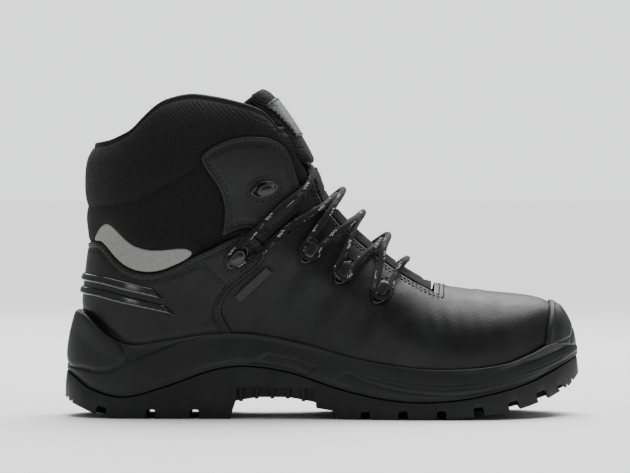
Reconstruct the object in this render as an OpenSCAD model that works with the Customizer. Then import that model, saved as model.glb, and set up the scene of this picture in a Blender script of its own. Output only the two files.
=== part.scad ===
// Lace-up safety work boot for the right foot, with a steel toe cap inside.
// +X points to the toe, +Z up, and the outer (lateral) side of the foot is at -Y.
// The origin is the middle of the boot's footprint, on the ground.

/* [Overall] */
// Length of the outsole, heel to toe
sole_length = 306; // [270:1:350]
// Width of the outsole across the ball of the foot
ball_width = 110; // [92:1:126]
// Height of the boot, ground to the top of the tongue
boot_height = 196; // [165:1:225]

/* [Upper] */
// Thickness of the leather
leather = 1.8; // [1.4:0.1:2.4]
// Thickness of a sewn-on overlay panel
overlay = 1.5; // [1:0.1:2]
// Thickness of the lining
lining = 1.2; // [0.8:0.1:1.6]
// Soft backing in the wall of the foot, beyond the leather, the stiffener and the lining
foot_backing = 0.4; // [0.3:0.1:1.5]
// Thickness of the padded collar, outside to inside
collar_wall = 9; // [7:0.5:12]
// Height of the edge binding along the top of the collar
binding_height = 2.2; // [1.5:0.1:3]
// Thickness of the padded tongue flap
flap_thick = 11; // [8:0.5:12]

/* [Protection] */
// Thickness of the steel toe cap
cap_thick = 1.6; // [1.2:0.1:1.8]
// Thickness of the heel stiffener
counter_thick = 1.5; // [1:0.1:1.7]
// Thickness of the rubber toe bumper
bumper_thick = 3.4; // [2:0.1:4]

/* [Sole] */
// Thickness of the insole board
board_thick = 2; // [1.5:0.1:3]
// Thickness of the steel shank
shank_thick = 1.6; // [1:0.1:2]
// Width of the steel shank
shank_width = 18; // [12:1:26]
// Thickness of the removable footbed
footbed_thick = 5; // [3:0.5:7]
// Depth of the grooves between the tread lugs
tread_depth = 5.4; // [3:0.2:6.5]

/* [Lacing] */
// Diameter of the lace
lace_d = 4; // [3:0.1:4.4]
// Radius of the neck that the lace runs around
neck_r = 2; // [1.8:0.1:2.4]
// Radius of the rivet that holds a hook
rivet_r = 1; // [0.8:0.05:1.2]
// Thickness of a hook's foot and of its cap
hook_plate = 1.2; // [0.9:0.1:1.6]

/* [Hidden] */

// Sizes that the curves below are drawn at
drawn_length = 306;
drawn_width = 110;
drawn_height = 196;
sx = sole_length / drawn_length;
sy = ball_width / drawn_width;
sz = boot_height / drawn_height;
// Gap left between sewn or bonded layers
seam_gap = 0.3;
// Gap left around a part that moves
move_gap = 1.5;
// Thickness of the wall of the foot part, outside to inside
foot_wall = leather + max(cap_thick, counter_thick + seam_gap - 0.2) + lining + foot_backing;
// Distance from the edge of the outsole to the upper above it
rim_width = 5.5;

// ---- curves: each is a smooth line through [position, value] points ----

function spot(p, x, i = 0) = i >= len(p) - 2 || x <= p[i + 1][0] ? i : spot(p, x, i + 1);
function tangent(p, i) =
    let (a = max(i - 1, 0), b = min(i + 1, len(p) - 1)) (p[b][1] - p[a][1]) / (p[b][0] - p[a][0]);
function along(p, x) =
    let (i = spot(p, x), d = p[i + 1][0] - p[i][0], t = min(1, max(0, (x - p[i][0]) / d)))
    p[i][1] * (1 + 2 * t) * (1 - t) ^ 2 + p[i + 1][1] * t * t * (3 - 2 * t)
    + d * (tangent(p, i) * t * (1 - t) ^ 2 - tangent(p, i + 1) * t * t * (1 - t));
function mix(a, b, t) = a + (b - a) * t;
function smooth(a, b, x) = let (t = min(1, max(0, (x - a) / (b - a)))) t * t * (3 - 2 * t);
// Quarter of a squircle: 0 at an edge, 1 once e reaches 1
function round_in(e, n) = e >= 1 ? 1 : e <= 0 ? 0 : (1 - (1 - e) ^ n) ^ (1 / n);

// Back of the upper, x at each height
back_line = [
    [20, -134], [40, -138.5], [56, -141], [72, -140.7], [88, -139], [103, -137.4], [120, -138.2],
    [138, -138.9], [150, -138], [160, -134.5], [175, -131], [200, -129],
];
// Front of the toe, then the top of the foot and tongue, x at each height
front_line = [
    [20, 147], [28, 148.2], [36, 148.5], [44, 148], [52, 146], [60, 142], [66, 136.5], [69.5, 130],
    [71.5, 121], [72.8, 110], [73.8, 99], [75, 88], [76.8, 77], [79.5, 66], [84, 57], [93, 43],
    [106, 27], [119, 13.5], [131, 4], [141, 0], [152, -4.5], [165, -11.3], [180, -20.8],
    [189.4, -28.3], [200, -40],
];
// The same line the other way round, height at each x
top_line = [for (i = [len(front_line) - 1:-1:2]) [front_line[i][1], front_line[i][0]]];
// Inner floor of the boot, height at each x
floor_line = [[-150, 34], [-110, 32], [-60, 36], [-40, 37], [-20, 34.5], [10, 26.5], [35, 21.5],
    [60, 19.3], [95, 21.5], [120, 27], [135, 32], [152, 39]];
// Joint between upper and midsole, height at each x
joint_line = [
    [-152, 66], [-141, 62.5], [-128, 52], [-117, 44.8], [-107, 43.4], [-92, 45.6], [-65, 49.7],
    [-42, 49.7], [-13, 44.2], [20, 35], [54, 29.7], [80, 29.2], [105, 32], [122, 38], [134, 43.5],
    [153, 46],
];
// Joint between midsole and outsole, height at each x
parting_line = [
    [-153, 28], [-146, 23], [-137, 16.7], [-117, 12.2], [-92, 18.5], [-65, 28], [-46, 30.5],
    [-19, 26.7], [9, 17.5], [37, 11.3], [62, 9.8], [88, 12.4], [122, 20.9], [153, 35.6],
];
// Half widths of the outsole to each side of its middle line, and that middle line
lateral_half = [[-153, 33], [-112, 35.5], [-60, 36], [-25, 37], [10, 43], [45, 51], [70, 53.5],
    [100, 53], [153, 44]];
medial_half = [[-153, 34], [-112, 35.5], [-60, 34], [-30, 32], [0, 35.5], [40, 47], [68, 53.5],
    [100, 52], [153, 42]];
middle_line = [[-153, -2.8], [-60, -3.8], [0, -2.8], [60, -0.8], [110, 2.2], [153, 9.6]];
// Half width of the shaft at each height
shaft_half = [[90, 34.5], [120, 36], [150, 40], [175, 42.5], [200, 43]];
// How far in from the back, the front and the top the wall has turned to the side
back_turn = [[20, 40], [80, 42], [120, 50], [160, 58], [200, 60]];
front_turn = [[20, 60], [70, 62], [110, 75], [150, 62], [200, 50]];
top_turn = [[-60, 60], [0, 50], [40, 48], [80, 46], [120, 44], [150, 40]];

function half(x, side) = along(side < 0 ? lateral_half : medial_half, x);
function foot_share(z) = 1 - smooth(45, 115, z);
shaft_middle = -2.4;
function middle(x, z) = mix(shaft_middle, along(middle_line, x), foot_share(z));
// Distance of the upper's outer face from its middle line, at a place seen from the side
function reach(x, z, side) =
    let (full = mix(along(shaft_half, z), half(x, side) - rim_width, foot_share(z)),
         ex = max(0.0001, (along(front_line, z) - x) / along(front_turn, z)),
         ez = max(0.0001, (along(top_line, x) - z) / along(top_turn, x)),
         tuck = 1 - 0.06 * (1 - min(1, (z - 18) / 26)) ^ 2)
    full * tuck * round_in((ex ^ -4 + ez ^ -4) ^ -0.25, 2.3)
    * round_in((x - along(back_line, z)) / along(back_turn, z), 2.1);
// The point of the upper's outer face at x, z on one side
function on_face(x, z, side) =
    [x * sx, (middle(x, z) + side * reach(x, z, side)) * sy, z * sz];

// ---- solids made from grids of points ----

function unit(v) = norm(v) == 0 ? [0, 0, 1] : v / norm(v);
function normals(g) =
    let (m = len(g) - 1, n = len(g[0]) - 1)
    [for (i = [0:m]) [for (j = [0:n]) unit(cross(g[min(i + 1, m)][j] - g[max(i - 1, 0)][j],
        g[i][min(j + 1, n)] - g[i][max(j - 1, 0)]))]];
function levelled(v) = unit([v[0], v[1], 0]);
// The grid moved out by a distance, square to its face or only sideways
function raised(g, d, level = false) = let (nn = normals(g)) [for (i = [0:len(g) - 1])
    [for (j = [0:len(g[0]) - 1]) g[i][j] + (level ? levelled(nn[i][j]) : nn[i][j]) * d]];
function every_cell(g) = [for (i = [0:len(g) - 2]) [for (j = [0:len(g[0]) - 2]) true]];
function quad(a, b, c, d) = [[a, b, c], [a, c, d]];

// Closed sheet between an outer and an inner grid, with only the cells that are marked
module sheet(outer, inner, cells) {
    rows = len(outer);
    cols = len(outer[0]);
    count = rows * cols;
    function o(i, j) = i * cols + j;
    function n(i, j) = count + i * cols + j;
    function there(i, j) = i >= 0 && j >= 0 && i < rows - 1 && j < cols - 1 && cells[i][j];
    faces = [for (i = [0:rows - 2]) for (j = [0:cols - 2]) if (there(i, j)) for (f = concat(
        quad(o(i, j), o(i, j + 1), o(i + 1, j + 1), o(i + 1, j)),
        quad(n(i, j), n(i + 1, j), n(i + 1, j + 1), n(i, j + 1)),
        there(i - 1, j) ? [] : quad(o(i, j + 1), o(i, j), n(i, j), n(i, j + 1)),
        there(i + 1, j) ? [] : quad(o(i + 1, j), o(i + 1, j + 1), n(i + 1, j + 1), n(i + 1, j)),
        there(i, j - 1) ? [] : quad(o(i, j), o(i + 1, j), n(i + 1, j), n(i, j)),
        there(i, j + 1) ? [] : quad(o(i + 1, j + 1), o(i, j + 1), n(i, j + 1), n(i + 1, j + 1)))) f];
    polyhedron([for (g = [outer, inner]) for (row = g) for (p = row) p], faces);
}
module layer(grid, low, high, level = false)
    sheet(raised(grid, high, level), raised(grid, low, level), every_cell(grid));

// Closed solid from a stack of rings, whose ends are closed by strips across
module ring_stack(rings) {
    n = len(rings[0]);
    last = (len(rings) - 1) * n;
    walls = [for (i = [0:len(rings) - 2]) for (j = [0:n - 1])
        for (f = quad(i * n + j, i * n + (j + 1) % n, (i + 1) * n + (j + 1) % n, (i + 1) * n + j)) f];
    function across(j) = [(n - j) % n, n - j - 1, j + 1, j];
    ends = [for (j = [0:n / 2 - 1]) let (q = across(j))
        for (f = j == 0 ? [[q[1], q[2], q[3]]] : j == n / 2 - 1 ? [[q[0], q[2], q[3]]]
            : quad(q[0], q[1], q[2], q[3])) f];
    polyhedron([for (r = rings) for (p = r) p],
        concat(walls, ends, [for (f = ends) [f[2] + last, f[1] + last, f[0] + last]]));
}

// Round cord swept through points
module cord(points, r, sides) {
    m = len(points) - 1;
    dirs = [for (i = [0:m]) unit(points[min(i + 1, m)] - points[max(i - 1, 0)])];
    function carried(i, u) = i > m ? [] :
        let (w = unit(u - dirs[i] * (u * dirs[i]))) concat([w], carried(i + 1, w));
    ups = carried(0, [0.3, 0.2, 1]);
    rings = [for (i = [0:m]) for (k = [0:sides - 1])
        points[i] + r * (cos(360 * k / sides) * ups[i] + sin(360 * k / sides) * cross(dirs[i], ups[i]))];
    polyhedron(rings, concat(
        [for (i = [0:m - 1]) for (k = [0:sides - 1]) for (f = quad(i * sides + k, (i + 1) * sides + k,
            (i + 1) * sides + (k + 1) % sides, i * sides + (k + 1) % sides)) f],
        [[for (k = [0:sides - 1]) k], [for (k = [sides - 1:-1:0]) m * sides + k]]));
}

// ---- the foot part, from the toe back to the lacing ----

// Stations from the ankle to the toe: x where each meets the floor, then its x and z on top
stations = [
    [-47, -3, 149], [-34, 0.2, 140], [-20, 4, 131], [-6, 10.5, 122], [8, 19, 113], [21, 29, 104],
    [34, 40.5, 95], [46, 51, 87.5], [58, 66, 79.5], [71, 77, 76.8], [84, 88, 75], [97, 99, 73.8],
    [109, 110, 72.8], [119, 121, 71.5], [126, 130, 69.5], [132, 136.5, 66], [138, 142, 60],
    [142.5, 146, 52], [145.3, 148, 46.5], [146.8, 148.4, 42],
];
station_floor = [for (i = [0:len(stations) - 1]) [i, stations[i][0]]];
station_x = [for (i = [0:len(stations) - 1]) [i, stations[i][1]]];
station_z = [for (i = [0:len(stations) - 1]) [i, stations[i][2]]];
toe_station = len(stations) - 1;
throat_station = 8;
// Half the number of cells over the foot, and how many of them the lacing gap takes
foot_cells = 12;
gap_cells = 3;
// Height of the walls' lower edge above the insole board
wall_lift = 0.5;

function front_point(k, j) =
    let (w = j / foot_cells, q = cos(90 * w), x0 = along(station_floor, k),
         z0 = along(floor_line, x0) + wall_lift,
         x = mix(x0, along(station_x, k), q), z = mix(z0, along(station_z, k), q))
    j == 0 ? [x * sx, middle(x, z) * sy, z * sz] : on_face(x, z, sign(j));
function front_grid(ks, js) = [for (k = ks) [for (j = js) front_point(k, j)]];
all_stations = [for (k = [0:toe_station]) k];
over_foot = [for (j = [-foot_cells:foot_cells]) j];
function laced_cells(g) = [for (i = [0:len(g) - 2]) [for (j = [0:len(g[0]) - 2])
    i >= throat_station || j < foot_cells - gap_cells || j >= foot_cells + gap_cells]];
module laced_layer(low, high) {
    g = front_grid(all_stations, over_foot);
    sheet(raised(g, high), raised(g, low), laced_cells(g));
}

// Places of the steel cap's back edge and of the strip that softens it, as stations
cap_back = 10;
cap_edge_back = 9.4;
cap_edge_gap = 0.05;
lining_face = -foot_wall + lining;

module vamp() { color("#26272a") laced_layer(-leather, 0); }
module vamp_lining() { color("#3a3c3f") laced_layer(-foot_wall, lining_face); }
module toe_cap() {
    ks = [for (k = [cap_back:toe_station]) k];
    color("silver") layer(front_grid(ks, over_foot), -leather - cap_thick - 0.1, -leather - 0.1);
}
module toe_cap_edge() {
    ks = [cap_edge_back, (cap_edge_back + cap_back) / 2, cap_back - cap_edge_gap];
    color("#55585c") layer(front_grid(ks, over_foot), -leather - cap_thick, -leather - seam_gap);
}

// ---- the rear part: heel, ankle and collar ----

// Where the rear part ends at the front, x at each height: along the vamp, then up the collar
vamp_foot = [stations[0][0], along(floor_line, stations[0][0])];
function vamp_edge(z) =
    mix(vamp_foot[0], stations[0][1], (z - vamp_foot[1]) / (stations[0][2] - vamp_foot[1]));
rear_front = concat([for (z = [20, 60, 100, 130]) [z, vamp_edge(z) - 0.3]],
    [[142, -9.5], [155, -16.5], [166, -21], [175, -25.5], [200, -38]]);
// Top of the collar, seen from the side
collar_top = [[-134.2, 160], [-126, 161.7], [-119.5, 164.4], [-113, 168], [-106, 175], [-99, 181.5],
    [-92, 185.5], [-78, 188.6], [-64, 187.2], [-50, 184.2], [-38.4, 180.5], [-31.5, 176], [-26.5, 169]];
// Share of the way from the back to the front of the rear part
function share(x, z) =
    let (b = along(back_line, z), f = along(rear_front, z) - seam_gap) max(0, (x - b) / (f - b));
function by_share(line) = [for (p = line) [share(p[0], p[1]), p[1]]];
collar_height = by_share(collar_top);
rear_cells = 13;

// Point at one share and height; s runs from -1 (lateral) through 0 (back) to 1 (medial)
function rear_point(s, z, end) =
    let (f = end * (1 - cos(90 * abs(s))), b = along(back_line, z),
         x = mix(b, along(rear_front, z) - seam_gap, f))
    s == 0 ? [b * sx, middle(b, z) * sy, z * sz] : on_face(x, z, sign(s));
// Grid between two heights, each a curve of [share, height]
function rear_grid(low, high, end, rows, cells) = [for (i = [0:rows]) [for (j = [-cells:cells])
    let (f = end * (1 - cos(90 * abs(j / cells))))
    rear_point(j / cells, mix(along(low, f), along(high, f), i / rows), end)]];
rear_floor = [[0, 34.8], [0.25, 33], [0.75, 36], [1, 38]];
// The wall is thin at the foot and at the collar's front edges, and padded between
function wall_depth(p) = mix(foot_wall, collar_wall,
    smooth(85, 125, p[2] / sz) * (1 - smooth(-48, -16, p[0] / sx)));
// The inner grid of a layer that lies a fixed height above the inside of the wall
function inside(g, above) = let (nn = normals(g)) [for (i = [0:len(g) - 1])
    [for (j = [0:len(g[0]) - 1]) g[i][j] - levelled(nn[i][j]) * (wall_depth(g[i][j]) - above)]];

module collar_textile() {
    color("#1d1e20") layer(rear_grid(rear_floor, collar_height, 1, 14, rear_cells), -leather, 0, true);
}
module quarter_lining() {
    g = rear_grid(rear_floor, collar_height, 1, 14, rear_cells);
    color("#3a3c3f") sheet(inside(g, lining), inside(g, 0), every_cell(g));
}
// Heights between which the collar is padded
foam_low = [[0, 110], [0.5, 112], [1, 116]];
foam_high = [for (p = collar_height) [p[0], p[1] - 1]];
module collar_foam() {
    g = rear_grid(foam_low, foam_high, 1, 7, rear_cells);
    color("#8a8d90") sheet(raised(g, -leather - 2 * seam_gap, true), inside(g, lining + 3 * seam_gap),
        every_cell(g));
}
// Gap under the binding, wider than a seam because the collar's top edge is steep at the front
binding_gap = 3.5 * seam_gap;
module collar_binding() {
    low = [for (p = collar_height) [p[0], p[1] + binding_gap / sz]];
    high = [for (p = low) [p[0], p[1] + binding_height / sz]];
    g = rear_grid(low, high, 1, 1, rear_cells);
    color("#141416") sheet(g, inside(g, 0), every_cell(g));
}
module heel_counter() {
    high = [[0, 84], [0.5, 78], [1, 56]];
    color("#6b6459") layer(rear_grid(rear_floor, high, 0.62, 6, rear_cells),
        -leather - counter_thick - seam_gap, -leather - seam_gap, true);
}

// Overlay around the heel, from the midsole to a curved top edge
quarter_top = [[-137, 103], [-130.5, 103], [-126.9, 99.8], [-121.5, 93.5], [-116, 89],
    [-109.7, 86.3], [-102.5, 85.4], [-95.3, 86.4], [-86.3, 89.9], [-75.4, 95.8], [-64.6, 100.7],
    [-46.5, 105], [-33, 100]];
quarter_low = [for (x = [-141, -128, -117, -107, -92, -75, -50])
    [share(x, along(joint_line, x)), along(joint_line, x) + 0.8]];
module heel_quarter() {
    color("#2a2b2e") layer(rear_grid(quarter_low, by_share(quarter_top), 0.9, 6, 14),
        seam_gap, seam_gap + overlay, true);
}
// Two ribs moulded round the back of the heel, each dropping towards the front
rib_count = 2;
rib_height = 3.8;
rib_thick = 1.6;
rib_mid = 82.3;
rib_pitch = 7.6;
rib_drop = 9;
module heel_ribs() {
    color("#4a4c50") for (k = [0:rib_count - 1]) {
        mid = rib_mid - k * rib_pitch;
        low = [[0, mid - rib_height / 2], [0.2, mid - rib_height / 2 - 0.24 * rib_drop],
            [0.6, mid - rib_height / 2 - rib_drop]];
        high = [for (p = low) [p[0], p[1] + rib_height]];
        layer(rear_grid(low, high, 0.36 + 0.05 * k, 1, 10), overlay + 2 * seam_gap,
            overlay + 2 * seam_gap + rib_thick, true);
    }
}

// ---- panels on one side ----

function by_index(line, c) = [for (i = [0:len(line) - 1]) [i / (len(line) - 1), line[i][c]]];
// Grid between two lines of [x, z] points, drawn from back to front
function side_grid(low, high, rows, cells, side) =
    [for (i = [0:rows]) let (v = side < 0 ? 1 - i / rows : i / rows) [for (j = [0:cells])
        let (u = j / cells,
             x = mix(along(by_index(low, 0), u), along(by_index(high, 0), u), v),
             z = mix(along(by_index(low, 1), u), along(by_index(high, 1), u), v))
        on_face(x, z, side)]];

panel_high = [[-132, 106], [-127.5, 113.5], [-118, 107.5], [-107, 100.5], [-94, 99], [-84, 99.8],
    [-77, 97.6]];
panel_low = [[-131, 104.6], [-125.5, 100.2], [-117, 91.4], [-106, 87.2], [-94, 88.4], [-85, 92],
    [-77, 96.4]];
panel_thick = 0.6;
module reflective_panel(side) {
    color("#8c8c88") layer(side_grid(panel_low, panel_high, 3, 12, side), seam_gap, seam_gap + panel_thick);
}
module reflective_panel_lateral() { reflective_panel(-1); }
module reflective_panel_medial() { reflective_panel(1); }

patch_high = [[-68, 156], [-58, 163], [-46, 165.5], [-34, 164.5], [-25, 160]];
patch_low = [[-58, 110], [-49, 114], [-39, 120], [-28, 127], [-18, 134]];
module facing_patch(side) {
    color("#232427") layer(side_grid(patch_low, patch_high, 6, 6, side),
        1.5 * seam_gap, 1.5 * seam_gap + overlay);
}
module facing_patch_lateral() { facing_patch(-1); }
module facing_patch_medial() { facing_patch(1); }

// Small cloth tag on the outer side, sewn to the leather
tag_low = [[-50, 67.5], [-33.5, 83.5]];
tag_high = [[-53.4, 71], [-36.9, 87]];
tag_thick = 0.9;
tag_lift = overlay + 3 * seam_gap;
module side_tag() {
    color("#303236") layer(side_grid(tag_low, tag_high, 1, 2, -1), tag_lift, tag_lift + tag_thick);
}

// ---- tongue ----

flap_low_z = 151;
flap_high_z = drawn_height;
flap_cells = 4;
// How far back from the front line the flap's edges lie, at each height
flap_back = [[151, 1.2], [160, 4], [175, 6.5], [196, 8]];
function flap_point(s, z) =
    let (x = along(front_line, z) - along(flap_back, z) * s * s) s == 0
    ? [x * sx, middle(x, z) * sy, z * sz] : on_face(x, z, sign(s));
function flap_grid(z0, z1, rows, width, cells) = [for (i = [0:rows]) [for (j = [cells:-1:-cells])
    let (s = width * j / cells, z = mix(z0, z1, i / rows))
    flap_point(s, z - 9 * s * s * smooth(160, 190, z))]];
// The flap is thickest along its middle
module tongue_flap() {
    g = flap_grid(flap_low_z, flap_high_z, 7, 1, flap_cells);
    nn = normals(g);
    inner = [for (i = [0:len(g) - 1]) [for (j = [0:len(g[0]) - 1])
        let (s = (j - flap_cells) / flap_cells) g[i][j] - nn[i][j] * flap_thick * (1 - 0.6 * s * s)]];
    color("#1d1e20") sheet(g, inner, every_cell(g));
}
module tongue_label() {
    color("#3b3d42") layer(flap_grid(167, 187, 4, 0.6, 4), seam_gap, seam_gap + 0.8);
}
tongue_thick = 6.5;
tongue_cells = 2.6;
module tongue_lower() {
    ks = [for (k = [0.15, 1, 2, 3, 4, 5, 6, 7, 7.9]) k];
    js = [for (j = [-4:4]) j / 4 * tongue_cells];
    color("#1d1e20") layer(front_grid(ks, js), -tongue_thick, -0.5);
}
gusset_thick = 0.8;
module tongue_gusset() {
    ks = [for (k = [0.3, 1, 2, 3, 4, 5, 6, 7, 7.9]) k];
    for (side = [-1, 1]) {
        js = side < 0 ? [-6.5, -5, -3.9, -2.95] : [2.95, 3.9, 5, 6.5];
        color("#17181a") layer(front_grid(ks, js),
            -foot_wall - seam_gap - gusset_thick, -foot_wall - seam_gap);
    }
}

// ---- toe bumper, and the rings of the sole ----

bumper_back = 131.5;
bumper_low = 45.5;
bumper_high = 68.3;
function bumper_point(s, z) =
    let (f = along(front_line, z), x = mix(f, bumper_back, 1 - cos(90 * s))) s == 0
    ? [f * sx, middle(f, z) * sy, z * sz] : on_face(x, z, sign(s));
module toe_bumper() {
    g = [for (i = [0:6]) [for (j = [10:-1:-10])
        bumper_point(j / 10, mix(bumper_low, bumper_high, i / 6))]];
    color("#303134") layer(g, seam_gap, seam_gap + bumper_thick);
}

// Rings have this many points, the same number on each side
ring_points = 56;
function ring_share(j) = (1 - cos(360 * j / ring_points)) / 2;
function ring_side(j) = j < ring_points / 2 ? 1 : -1;
// Outline of the outsole drawn in by an inset, closed round both ends
rim_inset = 2;
heel_end = -153;
toe_end = 153;
function sole_reach(x, side, inset) =
    (half(x, side) - inset) * round_in((x - heel_end - inset) / 40, 2.2)
    * round_in((toe_end - inset - x) / 64, 2.15);
function sole_point(j, inset) =
    let (x = mix(heel_end + inset, toe_end - inset, ring_share(j)), side = ring_side(j))
    [x, along(middle_line, x) + side * sole_reach(x, side, inset)];
function sole_ring(inset, line, lift) = [for (j = [0:ring_points - 1]) let (p = sole_point(j, inset))
    [p[0] * sx, p[1] * sy, (along(line, p[0]) + lift) * sz]];
// Ring on the upper's outer face, moved out by a distance
function upper_ring(line, lift, out) = [for (j = [0:ring_points - 1])
    let (t = ring_share(j), side = ring_side(j), z0 = along(line, mix(-138, 148, t)) + lift,
         x0 = mix(along(back_line, z0), along(front_line, z0), t), z = along(line, x0) + lift,
         b = along(back_line, z), f = along(front_line, z), x = mix(b, f, t),
         w = (x > b + 0.01 && x < f - 0.01) ? reach(x, z, side) : 0)
    [mix(b * sx - out, f * sx + out, t),
        middle(x, z) * sy + side * (w * sy + (w > 0 ? out * min(1, w / 12) : 0)), z * sz]];

// Heights of the board's underside and of the seat for the shank under it
board_low = [for (p = floor_line) [p[0], p[1] - board_thick / sz]];
shank_back = -78;
shank_front = 32;
shank_gap = 0.3;
midsole_floor = [for (x = [-150:10:150]) [x, along(board_low, x) - shank_gap
    - (x > shank_back - 20 && x < shank_front + 20 ? (shank_thick + 2 * shank_gap) / sz : 0)]];
// Gap between the rim of the midsole and the upper inside it
rim_gap = 0.9;

module midsole() {
    color("#202123") ring_stack([
        sole_ring(rim_inset, parting_line, 0.15),
        sole_ring(0.8, parting_line, 3),
        [for (j = [0:ring_points - 1])
            mix(sole_ring(2.2, parting_line, 0)[j], sole_ring(2.2, joint_line, 0)[j], 0.62)],
        sole_ring(4.6, joint_line, -2.5),
        upper_ring(joint_line, 0, 2.4),
        upper_ring(joint_line, 0, rim_gap),
        upper_ring(floor_line, 1, rim_gap),
        upper_ring(midsole_floor, 0, 0),
    ]);
}
module insole_board() {
    color("#b9a37c") ring_stack([upper_ring(board_low, 0, -0.6), upper_ring(floor_line, -0.2, -0.4)]);
}
// Clearance under the loose footbed
footbed_gap = 0.8;
module footbed() {
    inset = -foot_wall - move_gap;
    heel_lip = [for (p = floor_line)
        [p[0], p[1] + footbed_thick + 0.3 + 5 * (1 - smooth(-90, -30, p[0]))]];
    color("#4d5156") ring_stack([
        upper_ring(floor_line, footbed_gap, inset - 1),
        upper_ring(heel_lip, 0, inset),
        upper_ring(heel_lip, 0, inset - 3),
        upper_ring(floor_line, footbed_thick, inset - 9),
    ]);
}
module shank() {
    xs = [for (i = [0:10]) mix(shank_back, shank_front, i / 10)];
    g = [for (x = xs) [for (y = [-1, 1]) [x * sx, along(middle_line, x) * sy + y * shank_width / 2,
        (along(board_low, x) - shank_gap) * sz]]];
    color("#9aa0a6") sheet([for (r = g) [for (p = r) p]],
        [for (r = g) [for (p = r) p - [0, 0, shank_thick]]], every_cell(g));
}

// Tread: bottom edge of the outsole seen from the side, without its grooves
tread_edge = [
    [-152.6, 20], [-153, 12], [-148.6, 8.6], [-134, 2.4], [-124, 0], [-54.6, 0], [-51, 10.6],
    [-38, 12.7], [-20, 12.7], [-4, 9.9], [-3.7, 6.6], [6, 5.1], [7.2, 2.1], [10, 0], [73, 0],
    [87.6, 1.8], [109.4, 4.4], [121.8, 7.7], [133.6, 11.8], [146.6, 18.3], [153, 25],
];
// Middle of each groove across the tread
heel_grooves = [-131, -101, -75.4];
front_grooves = [25, 47, 69.5, 91.6, 112.8, 130];
groove_width = 5.6;
function tread_height(x) = lookup(x, tread_edge);
module outsole_plan() {
    polygon([for (j = [0:ring_points - 1]) let (p = sole_point(j, 0)) [p[0] * sx, p[1] * sy]]);
}
module outsole() {
    profile = concat([for (p = tread_edge) [p[0] * sx, p[1] * sz]],
        [for (j = [ring_points / 2:-1:0])
            let (x = mix(heel_end + rim_inset, toe_end - rim_inset, ring_share(j)))
            [x * sx, along(parting_line, x) * sz]]);
    color("#232426") difference() {
        intersection() {
            linear_extrude(boot_height) outsole_plan();
            rotate([90, 0, 0]) linear_extrude(2 * ball_width, center = true) polygon(profile);
        }
        for (x = concat(heel_grooves, front_grooves))
            translate([x * sx, 0, tread_height(x) * sz]) rotate([90, 0, 0])
                cylinder(r = tread_depth, h = 2 * ball_width, center = true, $fn = 6);
    }
}

// ---- lacing ----

// Places of the hooks seen from the side, and how far each leans forward
eyelets = [[-7.6, 98.2], [12.2, 85.6], [34.3, 73.8]];
ankle_hook = [-49.6, 95];
top_hook = [-34.7, 135];
eyelet_lean = 60;
ankle_lean = 50;
top_lean = 15;
// Heights above the leather of a hook's foot on bare leather and on an overlay
foot_low = 0.5;
foot_high = overlay + 2 * seam_gap + 0.3;
// Height of the lace's middle where it lies on the facing patch
patch_run = 1.5 * seam_gap + overlay + lace_d / 2 + 0.25;
lace_play = 0.5;
lace_lift = hook_plate + lace_play + lace_d / 2;
neck_height = lace_d + 2 * lace_play;

// Frame on the face: [place, along the leaning axis, across it, outwards]
function face_frame(p, side, lean) =
    let (o = on_face(p[0], p[1], side), a = o - on_face(p[0] - 1, p[1], side),
         b = o - on_face(p[0], p[1] - 1, side), n = unit(side * cross(b, a)),
         u = unit(cos(lean) * unit(a) + sin(lean) * unit(b)), v = cross(n, u))
    [o, unit(u - n * (u * n)), unit(v), n];
module at_frame(f, lift) {
    o = f[0] + f[3] * lift;
    multmatrix([[f[1][0], f[2][0], f[3][0], o[0]], [f[1][1], f[2][1], f[3][1], o[1]],
        [f[1][2], f[2][2], f[3][2], o[2]]]) children();
}
// Foot, neck and cap of a hook, with a bore for its rivet
module hook(long, wide) {
    difference() {
        union() {
            for (z = [0, hook_plate + neck_height]) translate([0, 0, z]) linear_extrude(hook_plate) {
                square([long - wide, wide], center = true);
                for (e = [-1, 1]) translate([e * (long - wide) / 2, 0]) circle(d = wide, $fn = 32);
            }
            cylinder(r = neck_r, h = 2 * hook_plate + neck_height, $fn = 32);
        }
        translate([0, 0, -1]) cylinder(r = rivet_r, h = 2 * hook_plate + neck_height + 2, $fn = 32);
    }
}
hook_long = 11;
hook_wide = 7;
module eyelet_hooks() {
    color("#2c2d30") for (side = [-1, 1]) for (p = eyelets)
        at_frame(face_frame(p, side, eyelet_lean), foot_low) hook(hook_long, hook_wide);
}
module ankle_hooks() {
    color("#2c2d30") for (side = [-1, 1])
        at_frame(face_frame(ankle_hook, side, ankle_lean), foot_high) hook(hook_long, hook_wide);
}
module top_hooks() {
    color("#2c2d30") for (side = [-1, 1])
        at_frame(face_frame(top_hook, side, top_lean), foot_high) hook(hook_long, hook_wide);
}
module rivet() {
    cylinder(r = rivet_r, h = 2 * hook_plate + neck_height, $fn = 32);
    translate([0, 0, 2 * hook_plate + neck_height])
        cylinder(r1 = 2.2 * rivet_r, r2 = 1.4 * rivet_r, h = 0.7, $fn = 32);
}
module hook_rivets() {
    color("#45474b") for (side = [-1, 1]) {
        for (p = eyelets) at_frame(face_frame(p, side, eyelet_lean), foot_low) rivet();
        at_frame(face_frame(ankle_hook, side, ankle_lean), foot_high) rivet();
        at_frame(face_frame(top_hook, side, top_lean), foot_high) rivet();
    }
}

// The lace turns round each hook's neck; angles are from the x axis, in the plane of the face
turn_r = neck_r + lace_d / 2 + 0.5;
function turn(p, side, lift, from, to) = let (f = face_frame(p, side, 0))
    [for (i = [0:4]) let (a = mix(from, to, i / 4))
        f[0] + f[3] * lift + turn_r * (cos(a) * f[1] + side * -sin(a) * f[2])];
// A place on the face with a lift outwards
function lifted(x, z, side, lift) = let (f = face_frame([x, z], side, 0)) f[0] + f[3] * lift;
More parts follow.
